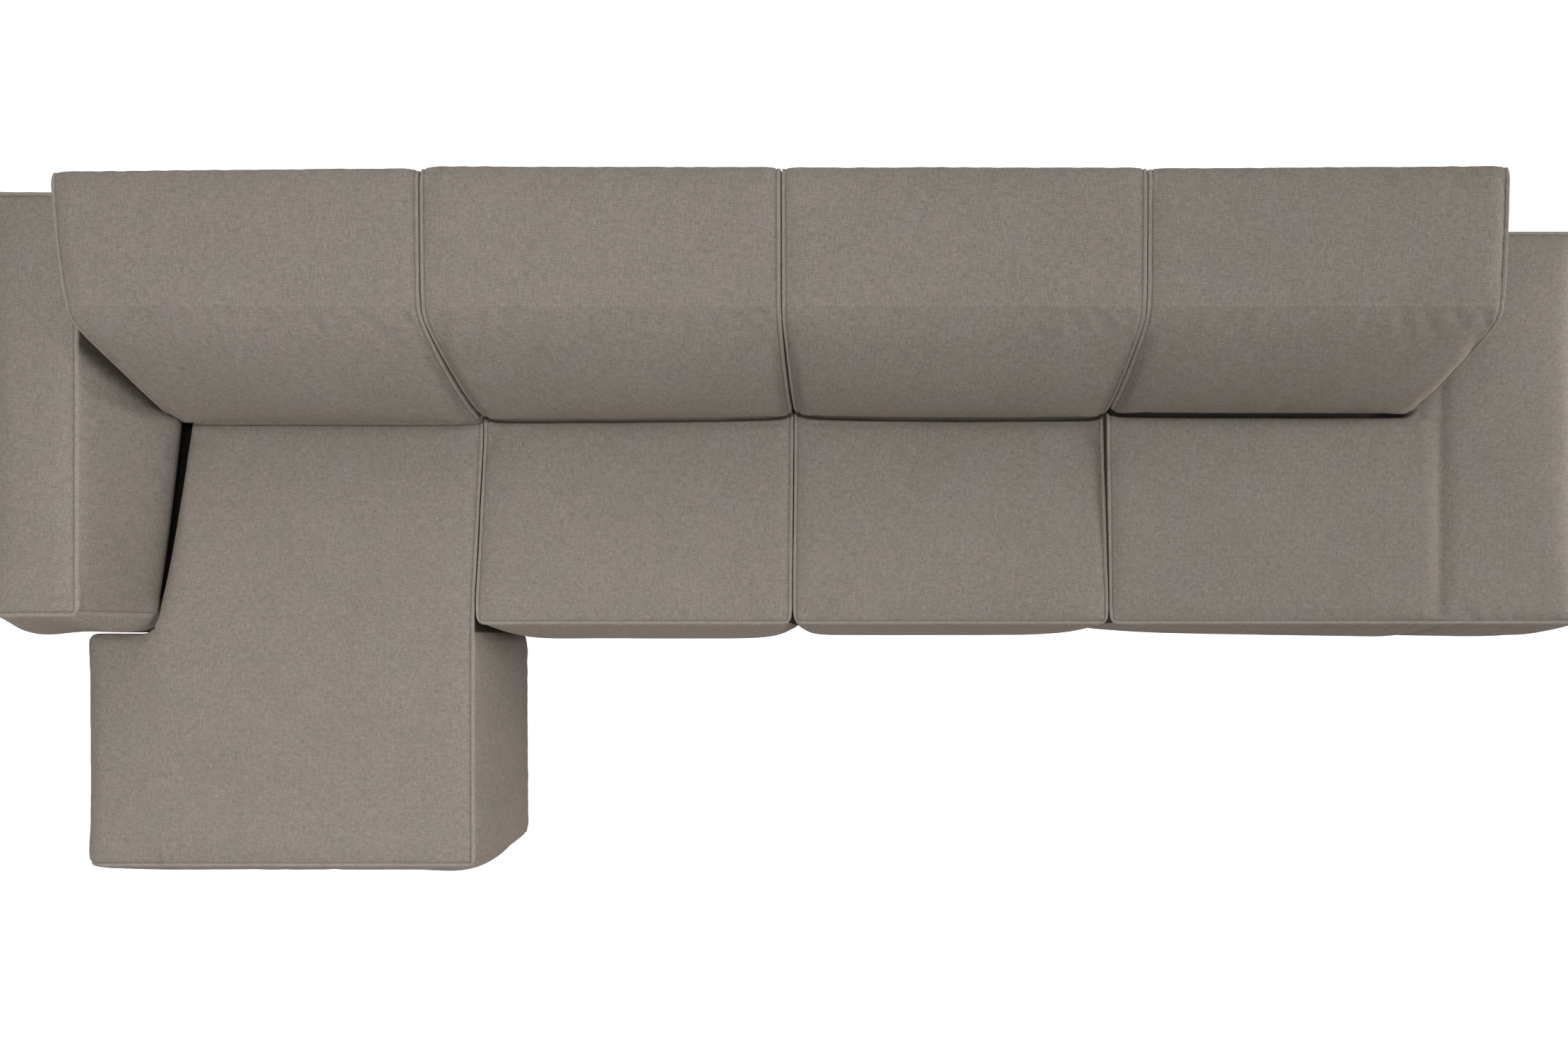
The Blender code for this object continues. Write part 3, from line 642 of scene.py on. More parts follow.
@once("node_groups", "Stitch rows")
def seam_tree(name):
    """Geometry Nodes: sets a stitch at every pitch along the rows."""
    tree, kit, given, made = new_group(
        name, "GeometryNodeTree",
        (
            ("Rows", "NodeSocketGeometry"),
            ("Stitch pitch", "NodeSocketFloat", 0.0075),
            ("Stitch length", "NodeSocketFloat", 0.0045),
            ("Stitch radius", "NodeSocketFloat", 0.0006),
            ("Shortest", "NodeSocketFloat", 0.82),
            ("Longest", "NodeSocketFloat", 1.12),
            ("Seed", "NodeSocketInt", 7),
            ("Thread", "NodeSocketMaterial"),
        ),
        (("Stitches", "NodeSocketGeometry"),),
    )
    tree.is_modifier = True
    curve = kit.add("GeometryNodeMeshToCurve", {0: given["Rows"]}).outputs[0]
    inputs = {"Curve": curve, "Length": given["Stitch pitch"]}
    points = kit.add("GeometryNodeResampleCurve", inputs, mode="LENGTH").outputs[0]
    bead = kit.add("GeometryNodeMeshUVSphere", {"Segments": 6, "Rings": 4, "Radius": 1.0}).outputs[0]
    length = kit.times(given["Stitch length"], 0.5)
    inputs = {2: given["Shortest"], 3: given["Longest"], "Seed": given["Seed"]}
    uneven = kit.add("FunctionNodeRandomValue", inputs, data_type="FLOAT").outputs[1]
    thick = given["Stitch radius"]
    size = kit.spot(kit.times(length, uneven), thick, thick)
    tangent = kit.add("GeometryNodeInputTangent").outputs[0]
    turn = kit.add("FunctionNodeAlignRotationToVector", {"Vector": tangent}, axis="X").outputs[0]
    inputs = {0: points, "Instance": bead, "Rotation": turn, "Scale": size}
    placed = kit.add("GeometryNodeInstanceOnPoints", inputs).outputs[0]
    real = kit.add("GeometryNodeRealizeInstances", {0: placed}).outputs[0]
    soft = kit.add("GeometryNodeSetShadeSmooth", {0: real}).outputs[0]
    threaded = kit.add("GeometryNodeSetMaterial", {0: soft, "Material": given["Thread"]}).outputs[0]
    kit.fill(made, {0: threaded})
    return tree


def stitches(name, rows, sizes):
    """One plain mesh of all the stitches that go with one body."""
    places, edges = [], []
    for row in rows:
        first = len(places)
        places.extend(row)
        edges.extend((first + step, first + step + 1) for step in range(len(row) - 1))
    mesh = bpy.data.meshes.new(name)
    mesh.from_pydata(np.array(places), edges, [])
    piece = new_piece(name, mesh)
    tree = seam_tree()
    step = piece.modifiers.new("stitches", "NODES")
    step.node_group = tree
    values = {
        "Stitch pitch": sizes.stitch_pitch,
        "Stitch length": sizes.stitch_length,
        "Stitch radius": sizes.stitch_radius,
        "Thread": thread_finish(),
    }
    for item in tree.interface.items_tree:
        if item.name in values:
            step[item.identifier] = values[item.name]
    settle(piece)
    return piece


# Finishes


@once("node_groups", "Plain weave")
def weave_group(name):
    """Plain weave of slubby yarns, read from the cloth's own map."""
    tree, kit, given, made = new_group(
        name, "ShaderNodeTree",
        (("Map", "NodeSocketVector"), ("Yarn pitch", "NodeSocketFloat", 0.002)),
        (("Yarn tone", "NodeSocketFloat"), ("Streak", "NodeSocketFloat"), ("Height", "NodeSocketFloat")),
    )
    pitch = given["Yarn pitch"]
    scaled = kit.vector("DIVIDE", given["Map"], kit.spot(pitch, pitch, pitch))
    u, v = kit.add("ShaderNodeSeparateXYZ", {0: scaled}).outputs[:2]
    warp_number, weft_number = kit.math("FLOOR", u), kit.math("FLOOR", v)
    arch_u = kit.math("SINE", kit.times(kit.math("FRACT", u), math.pi))
    arch_v = kit.math("SINE", kit.times(kit.math("FRACT", v), math.pi))
    parity = kit.math("FLOORED_MODULO", kit.math("ADD", warp_number, weft_number), 2.0)
    over = kit.math("SUBTRACT", 1.0, kit.times(parity, 2.0))
    lift = kit.times(kit.times(over, 0.5), kit.times(arch_u, arch_v))
    warp = kit.math("ADD", kit.times(arch_u, 0.5), lift)
    weft = kit.math("SUBTRACT", kit.times(arch_v, 0.5), lift)
    warp_on_top = kit.math("GREATER_THAN", warp, weft)

    def slub(number, along, shift):
        """Thick and thin places along one yarn, different from yarn to yarn."""
        return kit.noise(kit.spot(kit.times(number, 11.7), kit.times(along, 0.13), shift), 1.0, 1.0)

    def streak(across, along, shift):
        """Long faint lines over several yarns."""
        return kit.noise(kit.spot(kit.times(across, 0.5), kit.times(along, 0.035), shift), 1.0, 2.0, 0.6)

    inputs = {0: warp_on_top, 2: slub(weft_number, u, 9.0), 3: slub(warp_number, v, 3.0)}
    streaks = kit.math("ADD", streak(u, v, 20.0), streak(v, u, 40.0))
    kit.fill(made, {
        "Yarn tone": kit.add("ShaderNodeMix", inputs, data_type="FLOAT").outputs[0],
        "Streak": kit.times(streaks, 0.5),
        "Height": kit.math("MAXIMUM", warp, weft),
    })
    return tree


@once("node_groups", "Tone drift")
def drift_group(name):
    """Slow changes of tone and hue over the piece."""
    tree, kit, given, made = new_group(
        name, "ShaderNodeTree",
        (
            ("Place", "NodeSocketVector"), ("Color", "NodeSocketColor"),
            ("Amount", "NodeSocketFloat", 0.1),
        ),
        (("Color", "NodeSocketColor"),),
    )
    greener, redder = (0.985, 1.0, 0.965, 1), (1.015, 0.998, 1.035, 1)
    broad = kit.noise(given["Place"], 5.5, 3.0)
    hue = kit.noise(kit.vector("ADD", given["Place"], (7.0, 3.0, 5.0)), 9.0, 2.0)
    tinted = kit.mix(kit.level(hue, 0.3, 0.7, 0.0, 1.0), greener, redder)
    shaded = kit.scale(tinted, kit.level(broad, 0.25, 0.75, 0.95, 1.05))
    drift = kit.mix(given["Amount"], WHITE, shaded)
    kit.fill(made, {0: kit.mix(1.0, given["Color"], drift, "MULTIPLY")})
    return tree


def new_finish(name):
    material = bpy.data.materials.new(name)
    material.use_nodes = True
    kit = NodeKit(material.node_tree)
    return material, kit, kit.add("ShaderNodeTexCoord").outputs["Object"]


def solid(colour, factor=1.0):
    return (*(value * factor for value in colour), 1.0)


@once("materials", "Woven cloth")
def cloth_finish(name):
    """Woven cover: wear and painted highlight by the seams, soiling and painted shade in grooves,
    painted shade in crevices.
    """
    sizes, colours = bpy.context.scene.sofa_sizes, bpy.context.scene.sofa_colours
    material, kit, place = new_finish(name)
    own = kit.add("ShaderNodeUVMap", uv_map="cloth").outputs[0]
    inputs = {"Map": own, "Yarn pitch": sizes.yarn}
    weave = kit.add("ShaderNodeGroup", inputs, node_tree=weave_group()).outputs
    tone = kit.level(weave["Yarn tone"], 0.325, 0.675, 0.0, 1.0)
    yarn = kit.mix(tone, solid(colours.cloth_dark), solid(colours.cloth))
    # Painted shade between the yarns: each yarn is darker where it dips under its neighbour
    deep = kit.scale(yarn, kit.level(weave["Height"], 0.1, 0.7, 0.64, 1.09))
    streaked = kit.scale(deep, kit.level(weave["Streak"], 0.35, 0.65, 0.972, 1.028))
    inputs = {"Place": place, "Color": streaked, "Amount": 0.6}
    drifted = kit.add("ShaderNodeGroup", inputs, node_tree=drift_group()).outputs[0]
    rubbed_and_lit, soiled_and_shaded, shadow = (0.62, 0.58, 0.53, 1), (0.06, 0.05, 0.043, 1), (0.007, 0.005, 0.0035, 1)
    # Strips beside the seams, drawn lighter: part wear, part painted highlight on the raised welts
    worn = kit.mix(kit.times(kit.marked("strip"), 0.09), drifted, rubbed_and_lit)
    # Grooves, drawn darker: part soiling, part painted shade in the groove
    worn = kit.mix(kit.times(kit.marked("groove"), 0.5), worn, soiled_and_shaded)
    fuzz = kit.noise(place, 900.0, 2.0)
    relief = kit.math("ADD", weave["Height"], kit.times(fuzz, 0.35))
    kit.finish({
        # Painted shade: near black wherever the shade mark is set, in crevices and along contact lines
        "Base Color": kit.mix(kit.marked("shade"), worn, shadow),
        "Roughness": kit.level(fuzz, 0.2, 0.8, 0.86, 1.0),
        "Normal": kit.bump(0.55, 0.0007, relief),
        "Sheen Weight": 0.1,
        "Sheen Tint": (0.95, 0.75, 0.58, 1),
        "Sheen Roughness": 0.5,
        "Specular IOR Level": 0.25,
    })
    return material


@once("materials", "Sewing thread")
def thread_finish(name):
    material, kit, place = new_finish(name)
    twist = kit.noise(place, 1400.0, 1.0)
    kit.finish({
        "Base Color": kit.mix(twist, (0.14, 0.118, 0.1, 1), (0.3, 0.265, 0.235, 1)),
        "Roughness": kit.level(twist, 0.0, 1.0, 0.5, 0.75),
    })
    return material


@once("materials", "Dust cloth")
def dust_finish(name):
    material, kit, place = new_finish(name)
    base = bpy.context.scene.sofa_colours.dust_cloth
    fibre = kit.noise(kit.vector("MULTIPLY", place, (1.0, 0.35, 1.0)), 420.0, 3.0)
    kit.finish({
        "Base Color": kit.mix(fibre, solid(base, 0.6), solid(base, 1.7)),
        "Roughness": kit.level(fibre, 0.0, 1.0, 0.8, 0.98),
        "Normal": kit.bump(0.4, 0.0005, fibre),
    })
    return material


@once("materials", "Pine and ply")
def timber_finish(name):
    material, kit, place = new_finish(name)
    base = bpy.context.scene.sofa_colours.timber
    grain = kit.noise(kit.vector("MULTIPLY", place, (3.0, 60.0, 60.0)), 1.0, 4.0, 0.6)
    rings = kit.noise(kit.vector("MULTIPLY", place, (0.8, 9.0, 9.0)), 1.0, 2.0)
    plain = kit.mix(grain, solid(base, 0.7), solid(base))
    kit.finish({
        "Base Color": kit.mix(kit.level(rings, 0.4, 0.6, 0.0, 0.5), plain, solid(base, 1.15)),
        "Roughness": kit.level(grain, 0.0, 1.0, 0.55, 0.8),
        "Normal": kit.bump(0.3, 0.0006, grain),
    })
    return material


@once("materials", "Elastic webbing")
def webbing_finish(name):
    material, kit, place = new_finish(name)
    inputs = {"Vector": place, "Scale": 160.0, "Distortion": 0.4}
    ribs = kit.add("ShaderNodeTexWave", inputs).outputs["Fac"]
    kit.finish({
        "Base Color": kit.mix(ribs, (0.035, 0.036, 0.04, 1), (0.1, 0.1, 0.105, 1)),
        "Roughness": kit.level(kit.noise(place, 700.0, 2.0), 0.0, 1.0, 0.7, 0.95),
        "Normal": kit.bump(0.5, 0.0004, ribs),
    })
    return material


@once("materials", "Coated steel")
def steel_finish(name):
    material, kit, place = new_finish(name)
    base = bpy.context.scene.sofa_colours.steel
    worn = kit.noise(place, 35.0, 4.0, 0.65)
    kit.finish({
        "Base Color": kit.mix(kit.level(worn, 0.55, 0.75, 0.0, 1.0), solid(base), solid(base, 2.2)),
        "Roughness": kit.level(worn, 0.3, 0.8, 0.38, 0.58),
        "Normal": kit.bump(0.25, 0.0002, kit.noise(place, 520.0, 2.0)),
        "Metallic": 0.6,
    })
    return material


@once("materials", "Moulded plastic")
def plastic_finish(name):
    material, kit, place = new_finish(name)
    base = bpy.context.scene.sofa_colours.plastic
    scuff = kit.noise(place, 60.0, 4.0, 0.7)
    kit.finish({
        "Base Color": kit.mix(kit.level(scuff, 0.5, 0.8, 0.0, 1.0), solid(base), solid(base, 1.8)),
        "Roughness": kit.level(scuff, 0.3, 0.8, 0.42, 0.62),
        "Normal": kit.bump(0.3, 0.0002, kit.noise(place, 650.0, 2.0)),
    })
    return material


@once("materials", "Studio floor")
def floor_finish(name):
    """White to the camera, and a dull reflector to the sofa."""
    material, kit, place = new_finish(name)
    base = bpy.context.scene.sofa_colours.floor
    seen = kit.add("ShaderNodeLightPath").outputs["Is Camera Ray"]
    kit.finish({
        "Base Color": kit.mix(kit.noise(place, 40.0, 2.0), solid(base), solid(base, 0.99)),
        "Roughness": 0.9,
        "Emission Color": WHITE,
        "Emission Strength": kit.times(seen, FLOOR_GLOW),
    })
    return material


# Covers


def dress(cover, nodes):
    """Gives a finished cover its cloth and its part in the frame, but not its body."""
    piece = cover.piece
    piece.data.materials.clear()
    piece.data.materials.append(cloth_finish())
    piece.data.materials.append(dust_finish())
    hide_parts(*nodes)
    return piece


def quilted(amount, seed):
    """Small uneven hollows and swellings of a stuffed cover."""

    def sculpt(places):
        parts = zip(QUILT_SHARES, QUILT_SIZES, (seed, seed + 1))
        broad, fine = (part * ripple(places, size, start) for part, size, start in parts)
        return amount * (broad + fine)

    return sculpt


def seat_height(y):
    return share(SEAT_REAR_TOP, SEAT_FRONT_TOP, ramp(BACK_FOOT - y, 0, BACK_FOOT - MODULE_FRONT))


def foot_line(name):
    return BACK_FOOT - FOOT_FULLNESS[name]


def foot_lift(name, x, left, right):
    """How far a back's foot line draws to the rear near its seams."""
    at_left, at_right = FOOT_LIFT[name]
    near_left = fade(np.abs(x - left), FOOT_LIFT_REACH)
    near_right = fade(np.abs(right - x), FOOT_LIFT_REACH)
    return at_left * near_left + at_right * near_right


def foot_gap(name, x, y, left, right):
    """Distance to the nearest seam, and how far a place on a seat lies clear of the back's foot."""
    to_side = np.abs(x - left) if name == "end" else np.minimum(np.abs(x - left), np.abs(right - x))
    before = foot_line(name) + foot_lift(name, x, left, right)
    before = before + FOOT_ROUNDING * quarter(to_side, SIDE_ROUNDING) - y
    if name == "end":
        radius = 0.028
        beside = x - (right - radius)
        rounded = np.hypot(np.maximum(beside + radius, 0), np.maximum(before + radius, 0)) - radius
        before = np.where(beside > -radius, rounded, before)
    return to_side, before


def foot_hollow(name, x, y, left, right):
    """How far a seat sinks where its back stands on it, deepest at the seams."""
    to_side, before = foot_gap(name, x, y, left, right)
    pit = PIT_DEPTH * quarter(to_side, PIT_SIZE[0]) * quarter(before, PIT_SIZE[1])
    slit = FOOT_SLIT[name] * quarter(before, SLIT_WIDTH)
    return FOOT_HOLLOW[name] * quarter(before, HOLLOW_WIDTH) + slit + pit


def foot_shade(name, x, y, left, right):
    """Painted shade: a dark line where a back meets its seat, darkest where the seams end."""
    to_side, before = foot_gap(name, x, y, left, right)
    line_width, spot_width, spot_depth = 0.009, 0.0065, 0.01
    line = FOOT_SHADE[name] * fade(before, line_width)
    return np.maximum(line, hump(to_side, spot_width) * hump(before, spot_depth))


def wander(number, x, y, left, right):
    """How far a seat's seams stray from straight lines, shared out over its width."""
    to_rear = ramp(y, *WANDER_SPAN)
    at_left, at_right = share(*SEAT_WANDER[number], to_rear), share(*SEAT_WANDER[number + 1], to_rear)
    return share(at_left, at_right, ramp(x, left, right))


def front_corners(x, y, level, left, right, front):
    """Moves that round a seat's front corners and let two neighbouring seams part at the top."""
    width, reach, from_level = 0.0048, 0.05, 0.86
    parted = width * ramp(front + reach - y, 0, reach) ** 2 * ramp(level, from_level, 1)
    parted_left = parted * np.clip(1 - (x - left) / reach, 0, 1)
    parted_right = parted * np.clip(1 - (right - x) / reach, 0, 1)
    drawn_left = corner_draw(x, y, (left, front), CORNER)
    drawn_right = corner_draw(x, y, (right, front), CORNER)
    return parted_left + drawn_left - parted_right - drawn_right, drawn_left + drawn_right


def middle_seat(name, sizes, seed):
    left, right = SEAT[name][0].x - SNUG, SEAT[name][1].x + SNUG
    front, rear, top = MODULE_FRONT, FOLD_START, SEAT_FRONT_TOP
    ys = joined(
        lines(front, foot_line(name), sizes.cell, SEAM_LINES, FOOT_LINES),
        lines(foot_line(name), rear, 2 * sizes.cell, PAST_FOOT, FLUSH),
    )
    xs = lines(left, right, sizes.cell, SEAM_LINES, SEAM_LINES)
    zs = lines(UNDERSIDE, top, 2 * sizes.cell)
    bulge, left_power, right_power = FRONT_FORM[name]

    def place(x, y, z):
        level = ramp(z, UNDERSIDE, top)
        rise = SEAT_CROWN * dome(x, left, right) * np.where(y < BACK_FOOT, dome(y, front, BACK_FOOT), 0)
        rise -= foot_hollow(name, x, y, left, right)
        height = share(UNDERSIDE, seat_height(y) + rise, level)
        powers = np.where(x < (left + right) / 2, left_power, right_power)
        ahead = np.where(y <= front, bulge * swell(level) * dome(x, left, right, powers), 0)
        aside, behind = front_corners(x, y, level, left, right, front)
        return x + aside + wander(MODULES.index(name), x, y, left, right), y - ahead + behind, height

    def held(x, y, z):
        sides = (z <= UNDERSIDE) | (x <= left) | (x >= right)
        return sides | (y > foot_line(name) - FOOT_HOLD) | ((y <= front) & (z >= top))

    cover = Cover(f"{name}_seat", (xs, ys, zs), whole, place)
    x, y, z = cover.spots
    cover.sew(np.hypot(np.minimum.reduce([x - left, right - x, y - front]), top - z), z >= top, sizes)
    # Painted shade on the side walls in the gaps between seats and along the back's foot line
    walls = (x <= left) | (x >= right)
    cover.mark("shade", np.where(z < top, walls, foot_shade(name, x, y, left, right)))
    cover.inflate(held, sizes.puff, sizes.frames)
    cover.smooth(quilted(QUILT["middle"], seed))
    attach(dress(cover, [f"{name}_seat_cover"]), "sofa")
    near = front + STRIP
    row = stitch_row(
        cover, (left + STRIP, rear, top), (left + STRIP, near, top), (right - STRIP, near, top),
        (right - STRIP, rear, top),
    )
    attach(stitches(f"{name}_seat_stitches", [row], sizes), "sofa")


def arm_reach(y):
    """How far the arm's foot stands out under its top, more towards the back."""
    at_front, at_foot, behind, power = 0.0275, 0.1, 0.055, 0.8
    beside = share(at_front, at_foot, ramp(y, ARM_FRONT, BACK_FOOT) ** power)
    return share(beside, behind, ramp(y, ARM_TURN_START, ARM_TURN_END))


def crevice(y):
    """Open gap between the arm's foot and the seat."""
    at_front, at_foot = 0.0025, 0.0055
    width = share(at_front, at_foot, ramp(y, ARM_FRONT, BACK_FOOT))
    return width * ramp(ARM_TURN_END - y, 0, ARM_TURN_LENGTH)


def chaise_seat(name, sizes, seed):
    """The long seat, which runs on to the front and reaches left before the arm as a wing."""
    inset, overhang, coarser = 0.026, 0.012, 1.15
    left, right = SHELL[name][0].x + inset, SHELL[name][1].x + SNUG
    outer, front, step, rear = CHAISE_LEFT - overhang, CHAISE_FRONT, CHAISE_STEP, FOLD_START
    top, cell = SEAT_FRONT_TOP, coarser * sizes.cell
    bulge, corner_bulge, left_power, right_power = 0.041, 0.009, 12, 15
    side_bulges, outer_share, side_power = (0.033, 0.0225), 0.6, 20
    least_gap, arm_effect, wing_draw, wing_margin = 0.038, 0.15, -0.0165, 0.1
    corner_from, corner_width, inner_radius, seamless = 0.09, 0.06, 0.045, 0.03
    axes = (
        joined(
            lines(outer, left, cell, EDGE_LINES, SEAM_LINES),
            lines(left, right, cell, SEAM_LINES, SEAM_LINES),
        ),
        joined(
            lines(front, step, cell, SEAM_LINES, SEAM_LINES),
            lines(step, foot_line(name), cell, EDGE_LINES, FOOT_LINES),
            lines(foot_line(name), rear, 2 * cell, PAST_FOOT, FLUSH),
        ),
        lines(UNDERSIDE, top, 2 * cell),
    )

    def crown(x, y):
        """Gentle dome over the wide front, the narrow rear and the wing."""
        height, power = 0.007, 4
        beside = ramp(y, step - 0.02, step + 0.2)
        narrowing = beside * beside * (3 - 2 * beside)
        domed = share(dome(x, outer, right, power), dome(x, left, right, power), narrowing)
        domed *= np.where(y < BACK_FOOT, dome(y, front, BACK_FOOT, power), 0)
        wing = ramp(x, left - 0.12, left + 0.05)
        domed *= share(dome(np.minimum(y, step), front, step), 1, np.where(y > step, 1, wing))
        return height * domed

    def rolled(x, y):
        """How far the top falls at the outer side, the front and the wing's rear."""
        at_outer, at_front, at_rear = 0.028, 0.004, 0.012
        outer_width, front_width, rear_width = 0.05, 0.04, 0.025
        fall = at_outer * quarter(x - outer, outer_width)
        fall += at_front * np.clip(1 - (y - front) / front_width, 0, 1) ** 2
        return fall + at_rear * quarter(step - y, rear_width) * ramp(left - seamless - x, 0, seamless)

    def place(x, y, z):
        level = ramp(z, UNDERSIDE, top)
        sunk = np.where(x > left, foot_hollow(name, x, y, left - 1, right), 0)
        height = share(UNDERSIDE, seat_height(y) + crown(x, y) - rolled(x, y) - sunk, level)
        powers = np.where(x < (outer + right) / 2, left_power, right_power)
        full = bulge + corner_bulge * hump(right - x - corner_from, corner_width)
        ahead = np.where(y <= front, full * swell(level) * dome(x, outer, right, powers), 0)
        side = share(*side_bulges, ramp(y, front, step)) * swell(level)
        side = side * dome(y, front, step, side_power)
        shift = np.where((y < step) & (x >= right), side, 0)
        shift = shift - np.where((y < step) & (x <= outer), outer_share * side, 0)
        edge = np.maximum(ARM_INNER + arm_reach(y) + crevice(y), ARM_INNER + least_gap)
        pushed = np.where(y < BACK_FOOT, edge - left, 0) * np.clip(1 - (x - left) / arm_effect, 0, 1)
        shift += np.where(x < left, share(0, wing_draw, ramp(x, outer + wing_margin, left)), pushed)
        shift += wander(0, x, y, left, right)
        near_left = corner_draw(x, y, (outer, front), WIDE_CORNER)
        near_right = corner_draw(x, y, (right, front), CORNER)
        far_left = corner_draw(x, y, (outer, step), WIDE_CORNER)
        inner = corner_draw(x, y, (left, step), inner_radius)
        shift += near_left + far_left - near_right - inner
        return x + shift, y - ahead + near_left + near_right - far_left + inner, height

    def held(x, y, z):
        rim = (z >= top) & ((y <= front) | (x <= outer))
        inner = (y >= step) & ((x <= left) | (x >= right))
        wing_rear = (y >= step) & (x <= left)
        edge = (x >= right) & (z >= top)
        return (z <= UNDERSIDE) | rim | inner | wing_rear | edge | (y > foot_line(name) - FOOT_HOLD)

    cover = Cover(f"{name}_seat", axes, lambda x, y, z: (x > left) | (y < step), place)
    x, y, z = cover.spots
    to_arm = np.where(y >= step, x - left, np.where(x <= left, step - y, np.hypot(x - left, y - step)))
    plan = np.minimum.reduce([to_arm, right - x, y - front])
    on_side = (x >= right) & (y < step) & (z < top)
    distance = np.where(on_side, np.minimum(top - z, y - front), np.hypot(plan, top - z))
    plain = (y > step - seamless) & (x < left + seamless)
    cover.sew(distance, ((z >= top) & ~plain) | (on_side & (z < top - STRIP)), sizes)
    # Painted shade on the walls beside the arm, on the seat next to the arm and along the back's foot
    # line
    walls = (y > step) & ((x <= left) | (x >= right))
    arm_shade, shade_width = 0.45, 0.012
    by_arm = arm_shade * fade(x - left, shade_width) * ramp(y, step + 0.02, step + 0.08)
    darkened = np.maximum(foot_shade(name, x, y, left - 1, right), by_arm)
    cover.mark("shade", np.where(z < top, walls, darkened))
    cover.inflate(held, sizes.puff, sizes.frames)
    cover.smooth(quilted(QUILT["chaise"], seed))
    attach(dress(cover, [f"{name}_seat_cover"]), "sofa")
    near = front + STRIP
    rows = [
        stitch_row(cover, (outer, near, top), (right - STRIP, near, top), (right - STRIP, rear, top)),
        stitch_row(cover, (right, near, top), (right, near, UNDERSIDE)),
    ]
    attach(stitches(f"{name}_seat_stitches", rows, sizes), "sofa")


def end_bulge(x, left, side):
    """Bulge of the end seat's front, slimmer than the others and fuller under the folding side."""
    slim, full, left_power, right_power, full_from = 0.0135, 0.0305, 6, 28, 0.15
    powers = np.where(x < (left + side) / 2, left_power, right_power)
    return share(slim, full, ramp(x, left, side - full_from)) * dome(x, left, side, powers)


def end_seat(name, sizes, seed):
    """The end seat and its folding side under one cover, with a shallow crease along the fold."""
    left, right = SEAT[name][0].x - SNUG, SHELL[name][1].x
    fold_start, fold_end = SEAT[name][1].x, FLAP[0].x
    fold = (fold_start + fold_end) / 2
    side, front, rear, top = RIGHT, MODULE_FRONT, FOLD_START, END_TOP
    ledge = FLAP_BASE[1].z
    fine_from, fine_count = right - 0.085, 13
    xs = joined(
        lines(left, fine_from, sizes.cell, SEAM_LINES, FLUSH), np.linspace(fine_from, right, fine_count),
        lines(right, fold_start, sizes.cell, FLUSH, FLUSH),
        np.linspace(fold_start, fold_end, fine_count),
        lines(fold_end, side, sizes.cell, FLUSH, SEAM_LINES),
    )
    ys = joined(
        lines(front, foot_line(name), sizes.cell, SEAM_LINES, FOOT_LINES),
        lines(foot_line(name), rear, sizes.cell, PAST_FOOT, FLUSH),
        lines(rear, REAR, sizes.cell, FLUSH, SEAM_LINES),
    )
    zs = joined(
        lines(UNDERSIDE, ledge, 2 * sizes.cell, EDGE_LINES, FLUSH),
        lines(ledge, top, 1.5 * sizes.cell, FLUSH, EDGE_LINES),
    )

    def keep(x, y, z):
        seat = (x < fold_start) & ((y < rear) | (x > right))
        return seat | ((x > fold_start) & (z > ledge))

    def lip(x):
        """Rise of the cloth towards the fold, with a shallow crease along it."""
        rise, crease, crease_width = 0.0034, 0.0014, 0.014
        height = rise + crease * (1 - hump(x - fold, crease_width)) * ramp(x, fold - 0.07, fold - 0.01)
        return height * (ramp(x, fold - 0.3, fold - 0.05) * ramp(side - x, 0, 0.02))

    def place(x, y, z):
        level = ramp(z, UNDERSIDE, top)
        seat_crown = dome(x, left, fold_start) * np.where(y < BACK_FOOT, dome(y, front, BACK_FOOT), 0)
        flap_crown = dome(x, fold_end, side, 4) * dome(y, front, REAR, 4) * ramp(x, fold_end, side)
        over = SEAT_CROWN * np.where(x < fold_end, seat_crown, flap_crown) + lip(x)
        over -= foot_hollow(name, x, y, left, right)
        height = share(UNDERSIDE, top, level) + over * level
        ahead = np.where(y <= front, end_bulge(x, left, side) * swell(level), 0)
        out = np.where(x >= side, side_bulge(y, front, level), 0)
        aside, behind = front_corners(x, y, level, left, side, front)
        aside += wander(3, x, y, left, right)
        return x + out + aside, y - ahead + behind, height

    def held(x, y, z):
        rim = (z >= top) & ((y <= front) | (x >= side) | (y >= REAR))
        crease = (x >= fold_start - HALF_STEP) & (x <= fold_end + HALF_STEP)
        beside = (x <= left) | ((x <= right + HALF_STEP) & (y >= rear))
        base = (z <= UNDERSIDE) | ((x > fold_start) & (z <= ledge))
        under_back = (y > foot_line(name) - FOOT_HOLD) & (x < right)
        return rim | crease | beside | base | under_back | (y >= REAR)

    cover = Cover(f"{name}_seat", (xs, ys, zs), keep, place)
    x, y, z = cover.spots
    plan = np.minimum.reduce([x - left, side - x, y - front, REAR - y])
    cover.sew(np.hypot(plan, top - z), z >= top, sizes)
    # Painted shade on the seat beside the back's right side, along the back's foot line and on the left
    # wall
    inward, gap, behind, before = 0.036, 0.012, 0.05, 0.03
    beside = np.hypot(np.maximum(x - right + inward, 0) - gap, np.maximum(BACK_FOOT + behind - y, 0))
    soft_shade, shade_width = 0.35, 0.035
    soft = soft_shade * hump(beside, shade_width) * ramp(y, BACK_FOOT - before, BACK_FOOT + behind)
    darkened = np.maximum(foot_shade(name, x, y, left, right), soft)
    cover.mark("shade", np.where(z < top, x <= left, darkened))
    cover.inflate(held, sizes.puff, sizes.frames)
    cover.smooth(quilted(QUILT["end"], seed))
    piece = dress(cover, [f"{name}_seat_cover", "flap_pad"])
    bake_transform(piece)
    near, far = front + STRIP, REAR - STRIP
    row = stitch_row(
        cover, (left + STRIP, rear, top), (left + STRIP, near, top), (side - STRIP, near, top),
        (side - STRIP, far, top), (right, far, top),
    )
    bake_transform(stitches(f"{name}_seat_stitches", [row], sizes))


